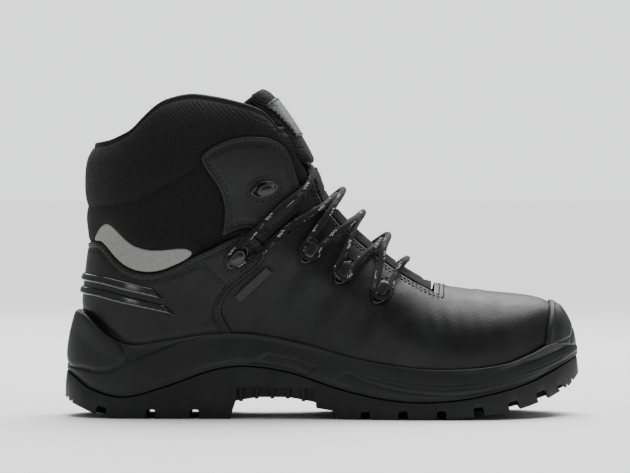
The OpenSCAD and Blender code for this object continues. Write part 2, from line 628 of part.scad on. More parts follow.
// Crossings over the tongue, from the top down, as heights of the front line
crossings = [128, 114.5, 101, 90];
function crossing(k, lift) = let (z = crossings[k], x = along(front_line, z))
    [x * sx + lift * 0.72, middle(x, z) * sy, z * sz + lift * 0.7];
low_lift = lace_d / 2 + 2.2;
high_lift = low_lift + lace_d + 0.6;
strand_lift = foot_low + lace_lift;
// Points of a strand between a crossing and a place beside a hook, nearest the crossing first
function strand(k, to, side, lift, shares = [0.22, 0.6]) =
    let (z = crossings[k], x = along(front_line, z)) [for (u = shares)
    lifted(mix(x, to[0], u), mix(z, to[1], u), side, mix(lift, strand_lift, min(1, u * 1.6)))];
// From the tucked end, over the collar's front edge, round the ankle hook and up to the first crossing
function side_run(side, lift) = concat(
    [[-38 * sx, side * 9 * sy, 126 * sz], [-30 * sx, side * 11.5 * sy, 139 * sz],
        [-21 * sx, side * 14 * sy, 147.5 * sz], [-13 * sx, side * 16.5 * sy, 149.5 * sz],
        [-6.5 * sx, side * 20.5 * sy, 146.5 * sz],
        lifted(-11, 137, side, patch_run), lifted(-23, 126, side, patch_run + 1),
        lifted(-37, 113, side, patch_run + 1)],
    turn(ankle_hook, side, foot_high + lace_lift, 150, 290),
    [lifted(-36, 98.5, side, patch_run + 0.8)],
    reversed(strand(0, ankle_hook, side, lift, [0.14, 0.3, 0.5])), [crossing(0, lift)]);
// Down to eyelet k from a crossing, round its neck, and up to the next crossing
function round_eyelet(k, side, lift) = let (e = eyelets[k]) concat(
    strand(k, [e[0] - 2, e[1] + 3], side, lift),
    turn(e, side, foot_low + lace_lift, 170, 370),
    reversed(strand(k + 1, [e[0] + 3, e[1] + 2], side, lift)), [crossing(k + 1, lift)]);
function reversed(p) = [for (i = [len(p) - 1:-1:0]) p[i]];
// The last crossing is a straight bar between the lowest pair
last_turn = round_eyelet(2, -1, high_lift);
lace_path = concat(
    side_run(-1, low_lift),
    round_eyelet(0, 1, low_lift), round_eyelet(1, -1, low_lift), round_eyelet(2, 1, low_lift),
    reversed(concat(side_run(1, high_lift), round_eyelet(0, -1, high_lift),
        round_eyelet(1, 1, high_lift), [for (i = [0:len(last_turn) - 2]) last_turn[i]])));
module lace() { color("#161618") cord(lace_path, lace_d / 2, 8); }
tip_length = 18;
module lace_tips() {
    color("#26282c") for (p = [lace_path, reversed(lace_path)]) {
        d = unit(p[0] - p[1]);
        cord([p[0] + d * 0.05, p[0] + d * tip_length], lace_d / 2, 8);
    }
}

outsole();
midsole();
shank();
insole_board();
footbed();
toe_cap();
toe_cap_edge();
heel_counter();
vamp_lining();
quarter_lining();
collar_foam();
collar_textile();
collar_binding();
vamp();
heel_quarter();
heel_ribs();
toe_bumper();
reflective_panel_lateral();
reflective_panel_medial();
facing_patch_lateral();
facing_patch_medial();
tongue_lower();
tongue_gusset();
tongue_flap();
tongue_label();
eyelet_hooks();
ankle_hooks();
top_hooks();
hook_rivets();
lace();
lace_tips();
side_tag();
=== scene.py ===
"""Steel toe work boot: camera, studio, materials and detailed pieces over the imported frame."""
import math

import bpy
import numpy as np
from mathutils import Matrix, Vector
from mathutils.geometry import delaunay_2d_cdt


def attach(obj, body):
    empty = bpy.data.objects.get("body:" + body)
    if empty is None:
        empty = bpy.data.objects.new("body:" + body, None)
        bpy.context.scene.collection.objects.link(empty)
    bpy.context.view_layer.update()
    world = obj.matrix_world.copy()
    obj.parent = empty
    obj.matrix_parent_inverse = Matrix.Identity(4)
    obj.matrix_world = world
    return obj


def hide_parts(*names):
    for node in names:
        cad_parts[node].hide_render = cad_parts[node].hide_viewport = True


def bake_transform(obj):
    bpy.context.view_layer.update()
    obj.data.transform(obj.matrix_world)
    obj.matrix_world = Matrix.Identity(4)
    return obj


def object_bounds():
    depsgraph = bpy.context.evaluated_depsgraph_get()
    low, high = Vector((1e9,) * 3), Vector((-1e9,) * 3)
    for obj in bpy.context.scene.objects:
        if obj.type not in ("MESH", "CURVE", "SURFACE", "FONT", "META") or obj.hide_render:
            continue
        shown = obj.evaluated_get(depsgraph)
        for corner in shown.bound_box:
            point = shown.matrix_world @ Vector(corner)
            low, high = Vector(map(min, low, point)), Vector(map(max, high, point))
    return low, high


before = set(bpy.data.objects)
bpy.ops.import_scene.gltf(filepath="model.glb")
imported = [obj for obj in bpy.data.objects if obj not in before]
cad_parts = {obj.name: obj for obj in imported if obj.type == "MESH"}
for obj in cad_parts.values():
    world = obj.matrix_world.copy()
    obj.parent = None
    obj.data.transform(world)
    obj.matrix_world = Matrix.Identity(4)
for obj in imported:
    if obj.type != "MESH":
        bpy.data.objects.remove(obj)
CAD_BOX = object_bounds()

LOW, HIGH = np.array(CAD_BOX[0]), np.array(CAD_BOX[1])
# Metres in one drawn millimetre along each axis
MM = (HIGH - LOW) / np.array([306.0, 107.725, 196.0])
THIN = 0.001

# ---------------------------------------------------------------- curves of the boot

BACK = [[20, -134], [40, -138.5], [56, -141], [72, -140.7], [88, -139], [103, -137.4], [120, -138.2],
        [138, -138.9], [150, -138], [160, -134.5], [175, -131], [200, -129]]
FRONT = [[20, 147], [28, 148.2], [36, 148.5], [44, 148], [52, 146], [60, 142], [66, 136.5], [69.5, 130],
         [71.5, 121], [72.8, 110], [73.8, 99], [75, 88], [76.8, 77], [79.5, 66], [84, 57], [93, 43],
         [106, 27], [119, 13.5], [131, 4], [141, 0], [152, -4.5], [165, -11.3], [180, -20.8],
         [189.4, -28.3], [200, -40]]
TOP = [[x, z] for z, x in FRONT[:1:-1]]
FLOOR = [[-150, 34], [-110, 32], [-60, 36], [-40, 37], [-20, 34.5], [10, 26.5], [35, 21.5],
         [60, 19.3], [95, 21.5], [120, 27], [135, 32], [152, 39]]
JOINT = [[-152, 66], [-141, 62.5], [-128, 52], [-117, 44.8], [-107, 43.4], [-92, 45.6], [-65, 49.7],
         [-42, 49.7], [-13, 44.2], [20, 35], [54, 29.7], [80, 29.2], [105, 32], [122, 38],
         [134, 43.5], [153, 46]]
PARTING = [[-153, 28], [-146, 23], [-137, 16.7], [-117, 12.2], [-92, 18.5], [-65, 28], [-46, 30.5],
           [-19, 26.7], [9, 17.5], [37, 11.3], [62, 9.8], [88, 12.4], [122, 20.9], [153, 35.6]]
LATERAL = [[-153, 33], [-112, 35.5], [-60, 36], [-25, 37], [10, 43], [45, 51], [70, 53.5],
           [100, 53], [153, 44]]
MEDIAL = [[-153, 34], [-112, 35.5], [-60, 34], [-30, 32], [0, 35.5], [40, 47], [68, 53.5],
          [100, 52], [153, 42]]
MIDDLE = [[-153, -2.8], [-60, -3.8], [0, -2.8], [60, -0.8], [110, 2.2], [153, 9.6]]
SHAFT = [[90, 34.5], [120, 36], [150, 40], [175, 42.5], [200, 43]]
BACK_TURN = [[20, 40], [80, 42], [120, 50], [160, 58], [200, 60]]
FRONT_TURN = [[20, 60], [70, 62], [110, 75], [150, 62], [200, 50]]
TOP_TURN = [[-60, 60], [0, 50], [40, 48], [80, 46], [120, 44], [150, 40]]
COLLAR = [[-134.2, 160], [-126, 161.7], [-119.5, 164.4], [-113, 168], [-106, 175], [-99, 181.5],
          [-92, 185.5], [-78, 188.6], [-64, 187.2], [-50, 184.2], [-38.4, 180.5], [-31.5, 176],
          [-26.5, 169]]


def along(points, x):
    """Height at x of the smooth line through the points."""
    px, py = np.array(points, float).T
    x = np.asarray(x, float)
    n = len(px)
    before, after = np.maximum(np.arange(n) - 1, 0), np.minimum(np.arange(n) + 1, n - 1)
    slope = (py[after] - py[before]) / (px[after] - px[before])
    i = np.clip(np.searchsorted(px, x) - 1, 0, n - 2)
    d = px[i + 1] - px[i]
    t = np.clip((x - px[i]) / d, 0, 1)
    return (py[i] * (1 + 2 * t) * (1 - t) ** 2 + py[i + 1] * t * t * (3 - 2 * t)
            + d * (slope[i] * t * (1 - t) ** 2 - slope[i + 1] * t * t * (1 - t)))


def mix(a, b, t):
    return a + (b - a) * t


def smooth(a, b, x):
    t = np.clip((np.asarray(x, float) - a) / (b - a), 0, 1)
    return t * t * (3 - 2 * t)


def round_in(e, n):
    e = np.clip(e, 0, 1)
    return (1 - (1 - e) ** n) ** (1 / n)


def foot_share(z):
    return 1 - smooth(45, 115, z)


def half(x, side):
    return np.where(np.asarray(side) < 0, along(LATERAL, x), along(MEDIAL, x))


def middle(x, z):
    return mix(-2.4, along(MIDDLE, x), foot_share(z))


def reach(x, z, side):
    """Distance of the upper's face from its middle line, at a place seen from the side."""
    full = mix(along(SHAFT, z), half(x, side) - 5.5, foot_share(z))
    ex = np.maximum(1e-4, (along(FRONT, z) - x) / along(FRONT_TURN, z))
    ez = np.maximum(1e-4, (along(TOP, x) - z) / along(TOP_TURN, x))
    tuck = 1 - 0.06 * (1 - np.minimum(1, (z - 18) / 26)) ** 2
    return (full * tuck * round_in((ex ** -4 + ez ** -4) ** -0.25, 2.3)
            * round_in((x - along(BACK, z)) / along(BACK_TURN, z), 2.1))


def on_face(x, z, side):
    x, z, side = np.broadcast_arrays(np.asarray(x, float), np.asarray(z, float), side)
    return np.stack([x, middle(x, z) + side * reach(x, z, side), z], -1) * MM


# Stations over the foot, from behind the ankle to the toe: x on the floor, then x and z on top
STATIONS = [[-84, -42, 149], [-64, -20, 149], [-47, -3, 149], [-34, 0.2, 140], [-20, 4, 131],
            [-6, 10.5, 122], [8, 19, 113], [21, 29, 104], [34, 40.5, 95], [46, 51, 87.5],
            [58, 66, 79.5], [71, 77, 76.8], [84, 88, 75], [97, 99, 73.8], [109, 110, 72.8],
            [119, 121, 71.5], [126, 130, 69.5], [132, 136.5, 66], [138, 142, 60], [142.5, 146, 52],
            [145.3, 148, 46.5], [146.8, 148.4, 42]]
STATION_AT = np.arange(len(STATIONS)) - 2
THROAT = 8
TOE = 19


def front_surface(k, w):
    """Place on the foot part at station k; w runs over the foot from -1 (outer) to 1 (inner)."""
    k, w = np.broadcast_arrays(np.asarray(k, float), np.asarray(w, float))
    line = [along(np.stack([STATION_AT, np.array(STATIONS)[:, i]], 1), k) for i in range(3)]
    q = np.cos(np.pi / 2 * w)
    z0 = along(FLOOR, line[0]) + 0.5
    x, z = mix(line[0], line[1], q), mix(z0, line[2], q)
    x = np.where(z > 80, np.minimum(x, along(FRONT, z) - 0.02 - 12 * (1 - q)), x)
    p = on_face(x, z, np.where(w < 0, -1, 1))
    ridge = np.abs(w) < 1e-9
    p[ridge, 1] = (middle(x, z) * MM[1])[ridge]
    return p


REAR_FRONT = [[z, -47 + 44 * (z - 36.9) / 112.1 - 0.3] for z in (20, 60, 100, 130)] + [
    [142, -9.5], [155, -16.5], [166, -21], [175, -25.5], [200, -38]]
# Drawn millimetres of cloth in one unit of t, from the back of the heel to the front edge
REAR_RUN = 140


def rear_share(x, z):
    b, f = along(BACK, z), along(REAR_FRONT, z) - 0.3
    return np.maximum(0, (x - b) / (f - b))


def rear_t(x, z):
    return np.arccos(1 - np.clip(rear_share(x, z), 0, 1)) / (np.pi / 2)


def rear_x(t, z):
    b, f = along(BACK, z), along(REAR_FRONT, z) - 0.3
    return mix(b, f, 1 - np.cos(np.pi / 2 * np.abs(t)))


def rear_surface(a, z):
    """Place on the heel and ankle; a runs round them from the outer side to the inner one."""
    a, z = np.broadcast_arrays(np.asarray(a, float), np.asarray(z, float))
    t = a / REAR_RUN
    return on_face(rear_x(t, z), z, np.where(t < 0, -1, 1))


def side_surface(side):
    return lambda x, z: on_face(x, z, side)


# ---------------------------------------------------------------- flat outlines

def chain(points):
    """Flat points as (a, z) from side-view (x, z), round the heel on the outer side."""
    p = np.array(points, float)
    return np.stack([-rear_t(p[:, 0], p[:, 1]) * REAR_RUN, p[:, 1]], 1)


def wrap(top, bottom):
    """Outline round the back of the heel from its top and bottom edges on one side."""
    t, b = chain(top), chain(bottom)
    outer = np.vstack([t, b[::-1]])
    inner = outer[::-1] * [-1, 1]
    return np.vstack([outer, inner])


def resampled(points, step, closed=True):
    p = np.asarray(points, float)
    if closed:
        p = np.vstack([p, p[:1]])
    d = np.r_[0, np.cumsum(np.linalg.norm(np.diff(p, axis=0), axis=1))]
    keep = np.r_[True, np.diff(d) > 1e-7]
    p, d = p[keep], d[keep]
    n = max(3, int(round(d[-1] / step)))
    s = np.linspace(0, d[-1], n, endpoint=not closed)
    return np.stack([np.interp(s, d, p[:, i]) for i in range(p.shape[1])], 1)


def curved(points, step, closed=True):
    """Smooth line through the points, in even steps."""
    p = np.asarray(points, float)
    n = len(p)
    out = []
    for i in range(n if closed else n - 1):
        a, b, c, d = (p[k % n] if closed else p[min(max(k, 0), n - 1)] for k in (i - 1, i, i + 1, i + 2))
        for t in np.linspace(0, 1, 9)[:-1]:
            out.append(0.5 * (2 * b + (c - a) * t + (2 * a - 5 * b + 4 * c - d) * t * t
                              + (3 * b - a - 3 * c + d) * t ** 3))
    if not closed:
        out.append(p[-1])
    return resampled(out, step, closed)


def distance(points, line, closed=True):
    """Distance of each flat point from a line."""
    p, q = np.asarray(points, float), np.asarray(line, float)
    a, b = (q, np.roll(q, -1, 0)) if closed else (q[:-1], q[1:])
    d = b - a
    best = np.full(len(p), 1e9)
    for s, e in zip(a, d):
        t = np.clip(((p - s) @ e) / max(e @ e, 1e-12), 0, 1)
        best = np.minimum(best, np.linalg.norm(p - s - t[:, None] * e, axis=1))
    return best


def within(points, line):
    """Whether each flat point is inside a closed line."""
    p, q = np.asarray(points, float), np.asarray(line, float)
    inside = np.zeros(len(p), bool)
    for (x0, y0), (x1, y1) in zip(q, np.roll(q, -1, 0)):
        if y0 != y1:
            hit = (y0 > p[:, 1]) != (y1 > p[:, 1])
            inside ^= hit & (p[:, 0] < (x1 - x0) * (p[:, 1] - y0) / (y1 - y0) + x0)
    return inside


def inset(line, d):
    """Points that lie d inside a closed line."""
    q = np.asarray(line, float)
    run = np.roll(q, -1, 0) - np.roll(q, 1, 0)
    n = np.stack([-run[:, 1], run[:, 0]], 1) / np.maximum(1e-9, np.linalg.norm(run, axis=1))[:, None]
    area = np.sum(q[:, 0] * np.roll(q[:, 1], -1) - np.roll(q[:, 0], -1) * q[:, 1])
    moved = q + n * (d if area > 0 else -d)
    return moved[(distance(moved, q) > 0.93 * d) & within(moved, q)]


# ---------------------------------------------------------------- meshes

def place(name, verts, faces, mat, body="root", angle=50, rub=None):
    """A smooth-shaded mesh object that rides on a body."""
    mesh = bpy.data.meshes.new(name)
    mesh.from_pydata([tuple(v) for v in np.asarray(verts, float)], [], [tuple(map(int, f)) for f in faces])
    mesh.validate()
    mesh.update()
    mesh.shade_smooth()
    mesh.set_sharp_from_angle(angle=math.radians(angle))
    if rub is not None and len(rub) == len(mesh.vertices):
        layer = mesh.attributes.new("rub", "FLOAT", "POINT")
        layer.data.foreach_set("value", np.asarray(rub, dtype=np.float32))
    obj = bpy.data.objects.new(name, mesh)
    bpy.context.scene.collection.objects.link(obj)
    for m in mat if isinstance(mat, (list, tuple)) else [mat]:
        mesh.materials.append(m)
    if body:
        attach(obj, body)
    return obj


def tidy_indices(verts, faces):
    used, back = np.unique(np.concatenate([np.ravel(f) for f in faces]), return_inverse=True)
    out, at = [], 0
    for f in faces:
        out.append(back[at:at + len(f)])
        at += len(f)
    return verts[used], out, used


def grid_normals(g, outward=None):
    n = np.cross(np.gradient(g, axis=0), np.gradient(g, axis=1))
    n /= np.maximum(1e-12, np.linalg.norm(n, axis=-1))[..., None]
    centre = g.reshape(-1, 3).mean(0) if outward is None else outward
    return n if np.sum(n * (g - centre)) > 0 else -n


def sheet_mesh(outer, inner, mask=None):
    """Vertices and faces of a closed sheet between two grids of points."""
    rows, cols = outer.shape[:2]
    mask = np.ones((rows - 1, cols - 1), bool) if mask is None else mask
    a = np.arange(rows * cols).reshape(rows, cols)
    b = a + rows * cols
    i, j = np.nonzero(mask)
    faces = list(np.stack([a[i, j], a[i, j + 1], a[i + 1, j + 1], a[i + 1, j]], 1))
    faces += list(np.stack([b[i, j], b[i + 1, j], b[i + 1, j + 1], b[i, j + 1]], 1))
    pad = np.pad(mask, 1)
    for di, dj, s, e in ((-1, 0, (0, 1), (0, 0)), (1, 0, (1, 0), (1, 1)),
                         (0, -1, (0, 0), (1, 0)), (0, 1, (1, 1), (0, 1))):
        i, j = np.nonzero(mask & ~pad[1 + di:rows + di, 1 + dj:cols + dj])
        s, e = (i + s[0], j + s[1]), (i + e[0], j + e[1])
        faces += list(np.stack([a[s], a[e], b[e], b[s]], 1))
    verts = np.vstack([outer.reshape(-1, 3), inner.reshape(-1, 3)])
    verts, faces, used = tidy_indices(verts, faces)
    if np.sum(np.cross(outer[1, 0] - outer[0, 0], outer[0, 1] - outer[0, 0]) * (outer[0, 0] - inner[0, 0])) > 0:
        faces = [f[::-1] for f in faces]
    return verts, faces, used


def surface_normals(surface, a, b):
    h = 0.35
    n = np.cross(surface(a + h, b) - surface(a - h, b), surface(a, b + h) - surface(a, b - h))
    n /= np.maximum(1e-12, np.linalg.norm(n, axis=-1))[..., None]
    p = surface(a, b)
    away = p - np.array([np.mean(p[:, 0]) if np.ptp(p[:, 1]) < 0.06 else -0.08, -0.002, np.mean(p[:, 2])])
    return n if np.sum(n * away) > 0 else -n


def crown(d, r):
    """Height from 0 to 1 of a rounded edge at distance d inside it."""
    return np.sqrt(1 - (1 - np.clip(d / r, 0, 1)) ** 2)


def panel(name, outline, surface, mat, base=0.3, thick=1.5, edge=1.0, cell=1.6, seams=(), relief=None,
          body="root"):
    """A sewn or moulded panel on a surface, rounded at its edge, with sunk seam rows."""
    ring = resampled(outline, cell * 0.6)
    loops = [inset(ring, d) for d in sorted([0.3 * edge, 0.7 * edge, 1.1 * edge, *seams])]
    low, high = ring.min(0), ring.max(0)
    xs, zs = np.arange(low[0], high[0], cell), np.arange(low[1], high[1], cell)
    field = np.stack(np.meshgrid(xs, zs), -1).reshape(-1, 2)
    field = field[within(field, ring)]
    field = field[distance(field, ring) > max([1.1 * edge, *seams]) + 0.6 * cell]
    flat = np.vstack([ring, *loops, field])
    v, _, f, *_ = delaunay_2d_cdt([Vector(p) for p in flat], [], [list(range(len(ring)))], 1, 1e-6)
    flat = np.array([tuple(p) for p in v])
    d = distance(flat, ring)
    lift = base + thick * crown(d, edge)
    for s in seams:
        lift = lift - 0.42 * np.exp(-((d - s) / 0.42) ** 2)
    if relief is not None:
        lift = lift + relief(flat) * smooth(0, edge, d)
    p, n = surface(flat[:, 0], flat[:, 1]), surface_normals(surface, flat[:, 0], flat[:, 1])
    upper, lower = p + n * lift[:, None] * THIN, p + n * base * THIN
    tri = [tuple(t) for t in f]
    count = {}
    for t in tri:
        for e in ((t[0], t[1]), (t[1], t[2]), (t[2], t[0])):
            count[e] = count.get(e, 0) + 1
    rim = [e for e in count if (e[1], e[0]) not in count]
    m = len(flat)
    t0 = tri[len(tri) // 2]
    up = np.dot(np.cross(upper[t0[1]] - upper[t0[0]], upper[t0[2]] - upper[t0[0]]), n[t0[0]]) > 0
    faces = tri + [(c + m, b + m, a + m) for a, b, c in tri] + [(b, a, a + m, b + m) for a, b in rim]
    faces = faces if up else [g[::-1] for g in faces]
    return place(name, np.vstack([upper, lower]), faces, mat, body, rub=np.r_[np.exp(-d / 0.9), d * 0])


def stitch_run(flat, surface, lift):
    """Points and normals of a line of stitching on a surface."""
    flat = np.asarray(flat, float)
    n = surface_normals(surface, flat[:, 0], flat[:, 1])
    return surface(flat[:, 0], flat[:, 1]) + n * lift * THIN, n


def stitches(name, runs, mat, pitch=3.0, long=2.2, r=0.34, body="root"):
    """Thread stitches along runs of (points, normals), as one mesh."""
    verts, faces = [], []
    sides = 6
    for points, normals in runs:
        d = np.r_[0, np.cumsum(np.linalg.norm(np.diff(points, axis=0), axis=1))] / THIN
        for s in np.arange(pitch / 2, d[-1] - long / 2, pitch):
            ends = [np.array([np.interp(q, d, points[:, i]) for i in range(3)]) for q in (s - long / 2, s + long / 2)]
            n = np.array([np.interp(s, d, normals[:, i]) for i in range(3)])
            run = ends[1] - ends[0]
            run /= max(1e-12, np.linalg.norm(run))
            across = np.cross(n, run)
            base = len(verts)
            for t, q, rise in ((0, 0.35, -0.15), (0.16, 1, 0.12), (0.5, 1.08, 0.2), (0.84, 1, 0.12), (1, 0.35, -0.15)):
                c = mix(ends[0], ends[1], t) + n * rise * THIN
                for k in range(sides):
                    a = 2 * math.pi * k / sides
                    verts.append(c + (across * math.cos(a) + n * math.sin(a)) * q * r * THIN)
            for i in range(4):
                for k in range(sides):
                    e = (k + 1) % sides
                    faces.append((base + i * sides + k, base + i * sides + e,
                                  base + (i + 1) * sides + e, base + (i + 1) * sides + k))
            faces.append(tuple(base + k for k in range(sides))[::-1])
            faces.append(tuple(base + 4 * sides + k for k in range(sides)))
    return place(name, verts, [f[::-1] for f in faces], mat, body, angle=80)


def frames(points):
    """Directions and carried side vectors along a line of points."""
    d = np.gradient(points, axis=0)
    d /= np.linalg.norm(d, axis=1)[:, None]
    u = np.array([0.3, 0.2, 1.0])
    out = []
    for t in d:
        u = u - t * (u @ t)
        u /= np.linalg.norm(u)
        out.append(u.copy())
    return d, np.array(out)


def tube(name, points, radius, mat, sides=12, body="root", closed=False):
    """A round tube along points; radius is a number or one for each point and side."""
    points = np.asarray(points, float)
    d, u = frames(points)
    v = np.cross(d, u)
    a = np.arange(sides) * 2 * math.pi / sides
    r = np.broadcast_to(np.asarray(radius, float), (len(points), sides))
    ring = points[:, None] + r[..., None] * (np.cos(a)[None, :, None] * u[:, None] + np.sin(a)[None, :, None] * v[:, None])
    verts = ring.reshape(-1, 3)
    i, k = np.meshgrid(np.arange(len(points) - 1), np.arange(sides), indexing="ij")
    e = (k + 1) % sides
    faces = np.stack([i * sides + k, i * sides + e, (i + 1) * sides + e, (i + 1) * sides + k], -1).reshape(-1, 4)
    faces = [tuple(f) for f in faces] + [tuple(range(sides))[::-1],
                                        tuple((len(points) - 1) * sides + q for q in range(sides))]
    return place(name, verts, faces, mat, body, angle=70)


# ---------------------------------------------------------------- materials

class Shader:
    """A node material with short calls for the patterns the finishes share."""

    def __init__(self, name, rough=0.5, **sockets):
        self.material = bpy.data.materials.new(name)
        self.material.use_nodes = True
        self.tree = self.material.node_tree
        self.out = self.tree.nodes["Principled BSDF"]
        self.out.inputs["Roughness"].default_value = rough
        for key, value in sockets.items():
            self.out.inputs[key.replace("_", " ")].default_value = value
        self.height = None
        self.space = self.node("ShaderNodeTexCoord").outputs["Object"]

    def node(self, kind, **inputs):
        n = self.tree.nodes.new(kind)
        for key, value in inputs.items():
            self.feed(n.inputs[key.replace("_", " ")], value)
        return n

    def feed(self, socket, value):
        if isinstance(value, bpy.types.NodeSocket):
            self.tree.links.new(value, socket)
        else:
            socket.default_value = value

    def math(self, op, a, b=0.0, c=0.0):
        n = self.tree.nodes.new("ShaderNodeMath")
        n.operation = op
        for socket, value in zip(n.inputs, (a, b, c)):
            self.feed(socket, value)
        return n.outputs[0]

    def noise(self, size, detail=3.0, rough=0.5, vector=None):
        """Noise from 0 to 1 whose spots are about size metres."""
        n = self.node("ShaderNodeTexNoise", Vector=vector or self.space, Scale=1 / size, Detail=detail, Roughness=rough)
        return n.outputs["Fac"]

    def cells(self, size, feature="F1", vector=None):
        n = self.node("ShaderNodeTexVoronoi", Vector=vector or self.space, Scale=1 / size)
        n.feature = feature
        return n.outputs["Distance"]

    def cloth_space(self):
        """Across and up the cloth, in metres: x + |y| and z."""
        s = self.node("ShaderNodeSeparateXYZ", Vector=self.space)
        return self.math("ADD", s.outputs[0], self.math("ABSOLUTE", s.outputs[1])), s.outputs[2]

    def wave(self, value, pitch, phase=0.0):
        """From -1 to 1 once in each pitch of the value."""
        return self.math("SINE", self.math("MULTIPLY_ADD", value, 2 * math.pi / pitch, phase))

    def span(self, value, low, high, to_low=0.0, to_high=1.0):
        n = self.node("ShaderNodeMapRange", Value=value)
        for key, v in (("From Min", low), ("From Max", high), ("To Min", to_low), ("To Max", to_high)):
            n.inputs[key].default_value = v
        return n.outputs[0]

    def blend(self, factor, a, b):
        n = self.tree.nodes.new("ShaderNodeMix")
        n.data_type = "RGBA"
        self.feed(n.inputs[0], factor)
        self.feed(n.inputs[6], a)
        self.feed(n.inputs[7], b)
        return n.outputs[2]

    def colour(self, factor, dark, light):
        mixed = self.blend(factor, (*dark, 1), (*light, 1))
        self.feed(self.out.inputs["Base Color"], mixed)
        return mixed

    def rub(self, shade, amount=0.5):
        """Wear: edges of a panel lighten and grow duller where the piece says so."""
        a = self.node("ShaderNodeAttribute")
        a.attribute_name = "rub"
        wear = self.math("MULTIPLY", a.outputs["Fac"], self.span(self.noise(0.004), 0.35, 0.65, 0.2, amount))
        mixed = self.blend(wear, self.out.inputs["Base Color"].links[0].from_socket, (*shade, 1))
        self.feed(self.out.inputs["Base Color"], mixed)

    def roughness(self, factor, low, high):
        self.feed(self.out.inputs["Roughness"], self.span(factor, 0, 1, low, high))

    def bump(self, height, depth, strength=1.0):
        n = self.node("ShaderNodeBump", Height=height, Strength=strength, Distance=depth)
        if self.height:
            self.feed(n.inputs["Normal"], self.height)
        self.height = n.outputs["Normal"]
        self.feed(self.out.inputs["Normal"], self.height)


def grey(v, warm=0.0):
    return (v * (1 + warm), v, v * (1 - warm))


def leather(name, dark=0.0045, light=0.0085, rough=(0.36, 0.5)):
    s = Shader(name, Specular_IOR_Level=0.26)
    s.colour(s.span(s.noise(0.035, 4), 0.3, 0.7), grey(dark), grey(light, -0.04))
    s.rub(grey(light * 2.6), 0.5)
    s.roughness(s.span(s.noise(0.009, 4), 0.3, 0.7), *rough)
    s.bump(s.noise(0.022, 2), 0.0004, 0.25)
    s.bump(s.cells(0.0011), 0.00012, 0.5)
    s.bump(s.noise(0.0006, 2), 0.00006, 0.5)
    return s.material


def moulded(name, dark=0.006, light=0.01, rough=(0.42, 0.6), grain=0.0007):
    s = Shader(name, Specular_IOR_Level=0.3)
    s.colour(s.span(s.noise(0.03, 4), 0.3, 0.7), grey(dark), grey(light, -0.05))
    s.rub(grey(light * 2.6), 0.5)
    s.roughness(s.span(s.noise(0.012, 4), 0.3, 0.7), *rough)
    s.bump(s.noise(grain, 2), 0.00008, 0.5)
    s.bump(s.noise(0.02, 2), 0.0003, 0.25)
    return s.material


def ribbed_cloth(name, dark=0.002, light=0.0075, pitch=0.00155, rough=0.82):
    """Ballistic weave: short thick yarns in slanting rows."""
    s = Shader(name, rough, Specular_IOR_Level=0.14, Sheen_Weight=0.05, Sheen_Roughness=0.6)
    h, z = s.cloth_space()
    row = s.wave(s.math("ADD", h, s.math("MULTIPLY", z, 1.6)), pitch * 1.9)
    yarn = s.wave(s.math("SUBTRACT", h, s.math("MULTIPLY", z, 0.55)), pitch, 0.6)
    weave = s.math("ADD", s.math("MULTIPLY", row, yarn), s.math("MULTIPLY", row, 0.7))
    weave = s.math("ADD", weave, s.math("MULTIPLY", s.noise(0.0011), 0.8))
    s.colour(s.span(weave, -1.2, 1.7), grey(dark), grey(light))
    s.bump(weave, 0.00025, 0.7)
    s.bump(s.noise(0.012, 2), 0.0008, 0.3)
    return s.material


def mesh_cloth(name, dark=0.012, light=0.035):
    s = Shader(name, 0.9, Sheen_Weight=0.2)
    h, z = s.cloth_space()
    holes = s.math("MULTIPLY", s.wave(h, 0.0022), s.wave(z, 0.0019))
    s.colour(s.span(holes, -0.8, 0.8), grey(dark), grey(light, -0.04))
    s.bump(holes, 0.0004, 0.6)
    s.bump(s.noise(0.0008), 0.0002, 0.4)
    return s.material


def tape(name, dark=0.002, light=0.006):
    s = Shader(name, 0.7, Specular_IOR_Level=0.2)
    h, z = s.cloth_space()
    ribs = s.math("ADD", s.wave(s.math("ADD", h, z), 0.0011), s.wave(s.math("SUBTRACT", h, z), 0.0011))
    s.colour(s.span(ribs, -1.6, 1.6), grey(dark), grey(light))
    s.bump(ribs, 0.0001, 0.6)
    return s.material


def speckled(name):
    """Reflective grey cloth with fine dark specks."""
    s = Shader(name, 0.55, Specular_IOR_Level=0.4)
    specks = s.cells(0.0009)
    s.colour(s.span(specks, 0.1, 0.75), (0.27, 0.27, 0.26), (0.19, 0.19, 0.18))
    s.rub(grey(0.25), 0.6)
    s.roughness(s.span(s.noise(0.004), 0.3, 0.7), 0.45, 0.65)
    s.bump(specks, 0.0001, 0.6)
    return s.material


def gloss(name, value=0.012, rough=(0.16, 0.3), shine=0.4):
    s = Shader(name, Specular_IOR_Level=shine, Coat_Weight=0.25, Coat_Roughness=0.15)
    s.colour(s.span(s.noise(0.006), 0.3, 0.7), grey(value * 0.7), grey(value * 1.3, -0.05))
    s.rub(grey(value * 4), 0.6)
    s.roughness(s.span(s.noise(0.005, 4), 0.3, 0.7), *rough)
    s.bump(s.noise(0.0006), 0.00003, 0.5)
    return s.material


def thread(name, value=0.0035):
    s = Shader(name, 0.6, Specular_IOR_Level=0.3, Sheen_Weight=0.1)
    s.colour(s.span(s.noise(0.0008), 0.3, 0.7), grey(value * 0.5), grey(value * 1.6))
    s.bump(s.wave(s.math("ADD", *s.cloth_space()), 0.0005), 0.00008, 0.6)
    return s.material


def braid(name, dark, light):
    s = Shader(name, 0.72, Specular_IOR_Level=0.2, Sheen_Weight=0.06)
    s.colour(s.span(s.noise(0.0009), 0.3, 0.7), grey(dark), grey(light))
    s.bump(s.noise(0.0005), 0.00015, 0.6)
    return s.material


